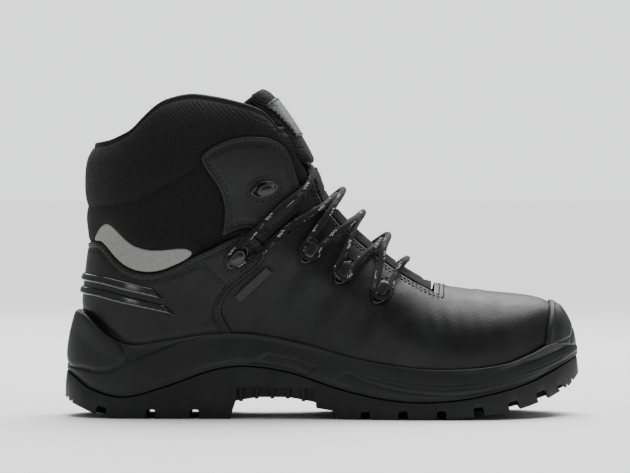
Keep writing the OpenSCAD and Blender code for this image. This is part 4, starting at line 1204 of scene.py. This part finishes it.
# Gaps at the curved ends stop short of the middle of the tread: place and half width
SIDE_GROOVES = [(-131, 2.9), (91.6, 2.9), (112.8, 2.9), (130, 2.9), (142.2, 1.5)]
NICKS = [-150.9, -148.6, 145.3, 148.6]


def tread_profile():
    """Underside of the outsole from heel to toe, seen from the side, with its lug gaps."""
    t = np.array(TREAD, float)
    level = lambda x: float(np.interp(x, t[:, 0], t[:, 1]))
    points = [tuple(q) for q in t if not any(abs(q[0] - c) < 2.95 for c in GROOVES)]
    for c in GROOVES:
        lean = 0 if 0 < level(c) < 0.5 or level(c) == 0 else (level(c + 3) - level(c - 3)) / 6
        z = level(c)
        for u, h in ((-2.8, 0), (-2.7, 4.2), (-2.3, 5.0), (-1.5, 5.4), (1.5, 5.4), (2.3, 5.0), (2.7, 4.2), (2.8, 0)):
            points.append((c + u - lean * h, z + lean * u + h if h else level(c + u)))
    first, rest = points[:2], sorted(points[2:], key=lambda q: q[0])
    order = [q for q in rest]
    return first + order


def prism(name, outline, axis, low, high):
    """Straight solid from a closed flat outline, along Y or Z."""
    m = len(outline)
    verts = [((a, h, b) if axis == "y" else (a, b, h)) for h in (low, high) for a, b in outline]
    faces = [tuple(range(m)), tuple(range(2 * m - 1, m - 1, -1))]
    faces += [(i, m + i, m + (i + 1) % m, (i + 1) % m) for i in range(m)]
    mesh = bpy.data.meshes.new(name)
    mesh.from_pydata([tuple(np.array(v) * MM) for v in verts], [], faces)
    area = sum(outline[i][0] * outline[(i + 1) % m][1] - outline[(i + 1) % m][0] * outline[i][1] for i in range(m))
    if (area > 0) == (axis == "z"):
        mesh.flip_normals()
    obj = bpy.data.objects.new(name, mesh)
    bpy.context.scene.collection.objects.link(obj)
    return obj


def combine(base, other, how):
    mod = base.modifiers.new("cut", "BOOLEAN")
    mod.operation = how
    mod.solver = "EXACT"
    mod.object = other
    bake_modifiers(base)
    bpy.data.objects.remove(other)


def bake_modifiers(obj):
    bpy.context.view_layer.update()
    mesh = bpy.data.meshes.new_from_object(obj.evaluated_get(bpy.context.evaluated_depsgraph_get()))
    obj.modifiers.clear()
    obj.data = mesh


def make_outsole(f):
    share, side = even_ring(lambda s: mix(-153, 153, s), lambda x, sd: along(MIDDLE, x) + sd * sole_reach(x, sd, 0), 420)
    x, y = sole_ring(share, side, 0)
    plan = prism("outsole_body", list(zip(x, y))[::-1], "z", -1, 60)
    xs = np.linspace(151.5, -151.5, 150)
    profile = tread_profile() + [(q, float(along(PARTING, q))) for q in xs]
    combine(plan, prism("side", profile, "y", -70, 70), "INTERSECT")
    for low, high in ((-119, -60), (14, 124)):
        n = 26
        u = np.linspace(low, high, n)
        mid = along(MIDDLE, u)
        wavy = 3.2 * np.sin((u - low) / 7.5)
        strip = list(zip(u, mid + wavy - 3)) + list(zip(u[::-1], (mid + wavy + 3)[::-1]))
        combine(plan, prism("channel", strip, "z", -1, 4.4), "DIFFERENCE")
    tread = np.array(TREAD).T
    for x0, w in SIDE_GROOVES:
        z0 = float(np.interp(x0, *tread))
        lean = float(np.interp(x0 + 3, *tread) - np.interp(x0 - 3, *tread)) / 6
        gap = [(x0 + u - lean * h, z0 + lean * u + h * w / 2.9) for u, h in (
            (-w, -4), (-w, 4.2), (-0.8 * w, 5.2), (0.8 * w, 5.2), (w, 4.2), (w, -4))]
        mid = float(along(MIDDLE, x0))
        for low, high in ((-70, mid - 9), (mid + 9, 70)):
            combine(plan, prism("gap", gap, "y", low, high), "DIFFERENCE")
    for x0 in NICKS:
        z0 = float(np.interp(x0, *tread))
        nick = [(x0 - 0.6, z0 - 3), (x0 + 0.6, z0 - 3), (x0 + 0.5, z0 + 1.5), (x0 - 0.5, z0 + 1.5)]
        combine(plan, prism("nick", nick, "y", -70, 70), "DIFFERENCE")
    # the waist's side walls stand back behind their ribs
    u = np.linspace(-50.5, -5, 20)
    for sd in (-1, 1):
        wall = along(MIDDLE, u) + sd * sole_reach(u, sd, 0)
        strip = list(zip(u, wall - sd * 2.4)) + list(zip(u[::-1], (wall + sd * 6)[::-1]))
        combine(plan, prism("waist", strip[::sd], "z", -1, 18.4), "DIFFERENCE")
    bevel = plan.modifiers.new("bevel", "BEVEL")
    bevel.width = 0.0005
    bevel.segments = 2
    bevel.limit_method = "ANGLE"
    bevel.angle_limit = math.radians(38)
    bake_modifiers(plan)
    plan.data.materials.clear()
    plan.data.materials.append(f["sole"])
    plan.data.shade_smooth()
    plan.data.set_sharp_from_angle(angle=math.radians(32))
    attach(plan, "root")
    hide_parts("outsole")
    # upright ribs in the waist of the sole
    verts, faces = [], []
    for sd in (-1, 1):
        for x0 in np.linspace(-47.9, -11.2, 5):
            y0 = float(along(MIDDLE, x0) + sd * sole_reach(np.array([x0]), sd, 0)[0])
            z0, z1 = float(np.interp(x0, *tread)) - 0.7, 18.6
            base = len(verts)
            for z in (z0, z0 + 0.8, z1 - 0.8, z1):
                out = 0.2 if z0 < z < z1 else -0.5
                for dx, dy in ((-1.2, -3), (-0.9, out), (0.9, out), (1.2, -3)):
                    verts.append(np.array([x0 + dx, y0 + sd * dy, z]) * MM)
            for i in range(3):
                for k in range(4):
                    e = (k + 1) % 4
                    q = (base + i * 4 + k, base + i * 4 + e, base + (i + 1) * 4 + e, base + (i + 1) * 4 + k)
                    faces.append(q if sd > 0 else q[::-1])
            caps = [tuple(base + k for k in range(4)), tuple(base + 12 + k for k in range(4))]
            faces += [caps[0][::-1], caps[1]] if sd > 0 else [caps[0], caps[1][::-1]]
    place("waist_ribs", verts, [q[::-1] for q in faces], f["sole"], angle=30)


BUMPER_LINE = [[128, 44], [133, 43.4], [137, 44], [141.8, 45.2], [146, 47.2]]
FACET_LINE = [[34, 141.5], [39.6, 143.3], [47.5, 145.3], [56.8, 147.7], [60, 148.6]]


def make_bumper(f):
    s, v = np.meshgrid(np.linspace(1, -1, 241), np.linspace(0, 0.996, 71))
    z = mix(40.6 + 2.2 * np.abs(s), 67.45, v)
    front = along(FRONT, z)
    back = np.minimum(131.5 + 3.1 * smooth(44, 66, z), front - 0.01)
    x = mix(front, back, 1 - np.cos(np.pi / 2 * np.abs(s)))
    p = on_face(x, z, np.where(s < 0, -1, 1))
    tip = np.abs(s) < 1e-9
    p[tip, 1] = (middle(x, z) * MM[1])[tip]
    n = grid_normals(p, np.array([0.1, 0.004, 0.055]))
    walk = np.cumsum(np.r_["1", np.zeros((len(p), 1)), np.linalg.norm(np.diff(p, axis=1), axis=2)], axis=1) / THIN
    run = np.minimum(walk, walk[:, -1:] - walk)
    run = np.minimum(run, (x - back) * (1 + 3 * smooth(0, 9, 67.45 - z)) + 1.2 * (front - x) * (1 - smooth(0, 3, 67.45 - z)))
    lift = 0.3 + 2.0 * crown(run, 3) + 1.1 * smooth(2, 12, run)
    lift = lift + 0.35 * np.exp(-((run - 2.2) / 1.0) ** 2)
    lift = lift - 0.4 * np.exp(-((z - along(BUMPER_LINE, x)) / 0.55) ** 2) * (1 - smooth(144, 147, x))
    lift = lift - 0.35 * np.exp(-((x - along(FACET_LINE, z)) / 0.6) ** 2) * (1 - smooth(54, 59, z))
    lift = lift * mix(0.55, 1, crown(v * 26, 1.5))
    outer, inner = p + n * lift[..., None] * THIN, p + n * 0.3 * THIN
    # the columns next to the nose line run straight across it, so that it has no crease
    tip, near = p.shape[1] // 2, 6
    for shell in (outer, inner):
        shell[:, tip - near:tip + near + 1] = mix(
            shell[:, tip - near][:, None], shell[:, tip + near][:, None],
            np.linspace(0, 1, 2 * near + 1)[None, :, None])
    verts, faces, _ = sheet_mesh(outer, inner)
    piece = place("toe_bumper_body", verts, faces, f["bumper"])
    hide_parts("toe_bumper")


def make_footbed(f):
    share, side = even_ring(lambda s: mix(-132, 140, s), lambda x, sd: along(MIDDLE, x) + sd * sole_reach(x, sd, 12), 360)
    lip = [[x, z + 5.3 + 5 * (1 - smooth(-90, -30, x))] for x, z in FLOOR]
    rings = [upper_ring(share, side, FLOOR, 0.3, -7.2), upper_ring(share, side, lip, -1.5, -5.8),
             upper_ring(share, side, lip, 0, -6.3), upper_ring(share, side, lip, 0, -8),
             upper_ring(share, side, lip, -1.2, -11)]
    rings = [np.stack(r, -1) for r in rings]
    rim = rings[-1]
    centre = np.stack([mix(-108, 112, share), along(MIDDLE, mix(-108, 112, share)), 0 * share], -1)
    for t in (0.12, 0.28, 0.45, 0.62, 0.8, 0.97):
        ring = mix(rim, centre, t)
        ring[:, 2] = mix(rim[:, 2], along(FLOOR, ring[:, 0]) + 5.2, smooth(0, 0.45, t))
        rings.append(ring)
    rings = np.array(rings) * MM
    rows, m = rings.shape[:2]
    i, j = np.meshgrid(np.arange(rows - 1), np.arange(m), indexing="ij")
    e = (j + 1) % m
    faces = [tuple(q) for q in np.stack([i * m + j, (i + 1) * m + j, (i + 1) * m + e, i * m + e], -1).reshape(-1, 4)]
    faces += [tuple(range(m)), tuple((rows - 1) * m + q for q in range(m))[::-1]]
    piece = place("footbed_pad", rings.reshape(-1, 3), [q[::-1] for q in faces], f["footbed"], "footbed_body")
    mesh_outward(piece)
    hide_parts("footbed")


def mesh_outward(obj):
    """Turns a closed mesh so that its faces look outwards."""
    import bmesh
    b = bmesh.new()
    b.from_mesh(obj.data)
    bmesh.ops.recalc_face_normals(b, faces=b.faces)
    b.to_mesh(obj.data)
    b.free()


# ---------------------------------------------------------------- lacing

EYELETS = [(-7.6, 98.2), (12.2, 85.6), (34.3, 73.8)]
ANKLE_HOOK, TOP_HOOK = (-49.6, 95), (-34.7, 135)
FOOT_LOW, FOOT_HIGH = 0.5, 2.4
PLATE, NECK_HIGH, LACE_R = 1.2, 5.0, 2.0
LACE_LIFT = PLATE + 0.5 + LACE_R


def face_frame(p, side, lean):
    """Place on the face with its leaning, crossing and outward directions."""
    o = on_face(p[0], p[1], side)
    a, b = o - on_face(p[0] - 1, p[1], side), o - on_face(p[0], p[1] - 1, side)
    n = side * np.cross(b, a)
    n /= np.linalg.norm(n)
    a, b = a / np.linalg.norm(a), b / np.linalg.norm(b)
    u = math.cos(math.radians(lean)) * a + math.sin(math.radians(lean)) * b
    u /= np.linalg.norm(u)
    v = np.cross(n, u)
    u = u - n * (u @ n)
    return o, u / np.linalg.norm(u), v / np.linalg.norm(v), n


def superellipse(long, wide, power, count=40, point=0.0):
    a = np.arange(count) * 2 * math.pi / count
    c, s = np.cos(a), np.sin(a)
    u = np.sign(c) * np.abs(c) ** (2 / power) * long / 2
    v = np.sign(s) * np.abs(s) ** (2 / power) * wide / 2
    return np.stack([u * (1 + point * np.abs(c) ** 6), v * (1 - point * 0.5 * np.abs(c) ** 2)], 1)


def stacked(shape, levels):
    """Rings of an outline at (scale, height) levels, as points."""
    return [np.c_[shape * s, np.full(len(shape), h)] for s, h in levels]


def make_hooks(f):
    """Leaf-shaped feet, necks and domed caps, at the same places as the CAD hooks."""
    leaf = superellipse(15, 9.6, 2.0, point=0.1)
    bridge = superellipse(9.6, 6.4, 3.4)
    dome = superellipse(10.6, 7.4, 2.3)
    neck = superellipse(4, 4, 2)
    top = PLATE + NECK_HIGH

    def foot(scale):
        return stacked(leaf * scale, ((1, 0), (1.0, 0.5), (0.96, 1.0), (0.88, 1.2), (0.78, 1.05), (0.7, 0.6), (0.62, 0.55))) + \
            stacked(neck, ((1.15, 0.7), (1, 1.3), (1, top)))

    caps = {
        "eyelet_hook_bodies": stacked(bridge, ((0.82, top), (0.97, top + 0.1), (1.0, top + 0.5), (0.97, top + 1.0),
                                               (0.86, top + 1.25), (0.6, top + 1.4), (0.3, top + 1.45), (0.01, top + 1.47))),
        "dome": stacked(dome, ((0.8, top), (0.97, top + 0.1), (1.0, top + 0.45), (0.94, top + 0.95), (0.86, top + 1.0),
                               (0.8, top + 0.85), (0.72, top + 1.05), (0.5, top + 1.45), (0.25, top + 1.6), (0.01, top + 1.63))),
    }
    groups = (("eyelet_hook_bodies", "eyelet_hooks", EYELETS, 60, FOOT_LOW, 1.0),
              ("ankle_hook_bodies", "ankle_hooks", [ANKLE_HOOK], 50, FOOT_HIGH, 1.05),
              ("top_hook_bodies", "top_hooks", [TOP_HOOK], 15, FOOT_HIGH, 1.05))
    for name, node, places, lean, lift, scale in groups:
        rings = foot(scale) + (caps["eyelet_hook_bodies"] if node == "eyelet_hooks" else caps["dome"])
        verts, faces = [], []
        for side in (-1, 1):
            for q in places:
                o, u, v, n = face_frame(q, side, lean)
                base = len(verts)
                m = len(leaf)
                for ring in rings:
                    for a, b, h in ring:
                        verts.append(o + (u * a + v * b + n * (h + lift)) * THIN)
                for i in range(len(rings) - 1):
                    for k in range(m):
                        e = (k + 1) % m
                        faces.append((base + i * m + k, base + i * m + e, base + (i + 1) * m + e, base + (i + 1) * m + k))
                faces.append(tuple(base + k for k in range(m))[::-1])
                faces.append(tuple(base + (len(rings) - 1) * m + k for k in range(m)))
        piece = place(name, verts, faces, f["hook"], angle=48)
        mesh_outward(piece)
        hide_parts(node)
    shape = superellipse(2.4, 2.4, 2, 20)
    verts, faces = [], []
    for side in (-1, 1):
        for q, lift in [(e, FOOT_LOW) for e in EYELETS] + [(ANKLE_HOOK, FOOT_HIGH), (TOP_HOOK, FOOT_HIGH)]:
            o, u, v, n = face_frame(q, side, 0)
            rings = stacked(shape, ((1, top + 0.2), (1, top + 1.1), (0.9, top + 1.3), (0.5, top + 1.38), (0.01, top + 1.4)))
            base, m = len(verts), len(shape)
            for ring in rings:
                for a, b, h in ring:
                    verts.append(o + (u * a + v * b + n * (h + lift)) * THIN)
            for i in range(len(rings) - 1):
                for k in range(m):
                    e = (k + 1) % m
                    faces.append((base + i * m + k, base + i * m + e, base + (i + 1) * m + e, base + (i + 1) * m + k))
            faces.append(tuple(base + k for k in range(m))[::-1])
            faces.append(tuple(base + (len(rings) - 1) * m + k for k in range(m)))
    piece = place("hook_rivet_heads", verts, faces, f["rivet"], angle=48)
    mesh_outward(piece)
    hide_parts("hook_rivets")
    # stitched loops round the hooks
    runs = []
    for side in (-1, 1):
        loops = [(q, 60, 18.5, 13.5, 0.15) for q in EYELETS] + [(ANKLE_HOOK, 50, 20, 15, 2.0), (TOP_HOOK, 15, 20, 15, 2.0)]
        for q, lean, long, wide, lift in loops:
            c, s = math.cos(math.radians(lean)), math.sin(math.radians(lean))
            ring = superellipse(long, wide, 2.0, 60, 0.05)
            flat = np.stack([q[0] + ring[:, 0] * c - ring[:, 1] * s, q[1] + ring[:, 0] * s + ring[:, 1] * c], 1)
            runs.append(stitch_run(np.vstack([flat, flat[:1]]), side_surface(side), lift))
    stitches("hook_stitches", runs, f["thread"])


CROSSINGS = [128, 114.5, 101, 90]
LOW_LIFT = LACE_R + 2.2
HIGH_LIFT = LOW_LIFT + 2 * LACE_R + 0.6
STRAND_LIFT = FOOT_LOW + LACE_LIFT


def turned(p, side, lift, start, stop):
    o, u, v, n = face_frame(p, side, 0)
    out = []
    for a in np.radians(np.linspace(start, stop, 5)):
        out.append(o + (n * lift + 4.5 * (math.cos(a) * u - side * math.sin(a) * v)) * THIN)
    return out


def lifted(x, z, side, lift):
    o, _, _, n = face_frame((x, z), side, 0)
    return o + n * lift * THIN


def crossing(k, lift):
    z = CROSSINGS[k]
    x = along(FRONT, z)
    return np.array([x, middle(x, z), z]) * MM + np.array([0.72, 0, 0.7]) * lift * THIN


def strand(k, to, side, lift, shares=(0.22, 0.6)):
    z = CROSSINGS[k]
    x = along(FRONT, z)
    return [lifted(mix(x, to[0], u), mix(z, to[1], u), side, mix(lift, STRAND_LIFT, min(1, u * 1.6))) for u in shares]


def side_run(side, lift):
    tail = [(-38, 9, 126), (-30, 11.5, 139), (-21, 14, 147.5), (-13, 16.5, 149.5), (-6.5, 20.5, 146.5)]
    return ([np.array([x, side * y, z]) * MM for x, y, z in tail]
            + [lifted(-11, 137, side, 4.2), lifted(-23, 126, side, 5.2), lifted(-37, 113, side, 5.2)]
            + turned(ANKLE_HOOK, side, FOOT_HIGH + LACE_LIFT, 150, 290)
            + [lifted(-36, 98.5, side, 5)]
            + strand(0, ANKLE_HOOK, side, lift, (0.14, 0.3, 0.5))[::-1] + [crossing(0, lift)])


def round_eyelet(k, side, lift):
    e = EYELETS[k]
    return (strand(k, (e[0] - 2, e[1] + 3), side, lift)
            + turned(e, side, FOOT_LOW + LACE_LIFT, 170, 370)
            + strand(k + 1, (e[0] + 3, e[1] + 2), side, lift)[::-1] + [crossing(k + 1, lift)])


def lace_path():
    there = side_run(-1, LOW_LIFT) + round_eyelet(0, 1, LOW_LIFT) + round_eyelet(1, -1, LOW_LIFT) + round_eyelet(2, 1, LOW_LIFT)
    back = (side_run(1, HIGH_LIFT) + round_eyelet(0, -1, HIGH_LIFT) + round_eyelet(1, 1, HIGH_LIFT)
            + round_eyelet(2, -1, HIGH_LIFT)[:-1])
    return np.array(there + back[::-1])


def make_lace(f):
    points = lace_path()
    line = curved(points, 0.00055, closed=False)
    d = np.r_[0, np.cumsum(np.linalg.norm(np.diff(line, axis=0), axis=1))] / THIN
    sides = 16
    a = np.arange(sides) * 2 * math.pi / sides
    S, A = np.meshgrid(d, a, indexing="ij")
    weave = np.sin(2 * math.pi * S / 3.0 + 4 * A) * np.sin(2 * math.pi * S / 3.0 - 4 * A)
    lace = tube("lace_cord", line, (LACE_R - 0.12 + 0.14 * weave) * THIN, [f["lace"], f["fleck"], f["dim_fleck"]], sides)
    # pairs of pale picks in short checked rows
    at = S % 14.7
    column = np.floor(((A + S * 0.1) % math.pi) / (2 * math.pi / sides) + 1e-6).astype(int)
    kind = np.zeros(S.shape, int)
    for c, shift in ((1, 0), (2, 0.95)):
        pick = (column == c) & (((at - shift) % 1.9) < 1.05)
        kind[pick & (at < 5.7)] = 1
        kind[pick & (at >= 7.6) & (at < 11.4)] = 2
    count = (len(line) - 1) * sides
    index = np.zeros(len(lace.data.polygons), dtype=np.int32)
    index[:count] = kind[:-1].ravel()[:count]
    lace.data.polygons.foreach_set("material_index", index)
    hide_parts("lace")
    first = True
    for word, p in (("outer", points), ("inner", points[::-1])):
        run = (p[0] - p[1]) / np.linalg.norm(p[0] - p[1])
        u = np.linspace(0.05, 18, 30)
        tip = tube("lace_tip_" + word, p[0] + run * u[:, None] * THIN,
                   (np.minimum(1.85, 1.2 + 0.6 * crown(18.05 - u, 1.2)) * THIN)[:, None] * np.ones(14), f["tip"], 14)
        if first:
            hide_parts("lace_tips")
            first = False


# ---------------------------------------------------------------- the CAD nodes that stay

def dress_kept(f):
    """Hidden stiff pieces keep their CAD shape and get a real finish."""
    for node, finish in (("shank", "steel"), ("insole_board", "board"), ("toe_cap", "cap"),
                         ("toe_cap_edge", "edge_foam"), ("heel_counter", "counter")):
        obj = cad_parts[node]
        if not obj.data.materials:
            obj.data.materials.append(f[finish])
        for s in obj.material_slots:
            s.material = f[finish]


set_camera()
set_studio()
finishes = make_finishes()
make_collar(finishes)
make_binding(finishes)
make_vamp(finishes)
make_heel_quarter(finishes)
make_ribs(finishes)
make_side_panels(finishes)
make_tongue(finishes)
make_midsole(finishes)
make_outsole(finishes)
make_bumper(finishes)
make_footbed(finishes)
make_hooks(finishes)
make_lace(finishes)
dress_kept(finishes)
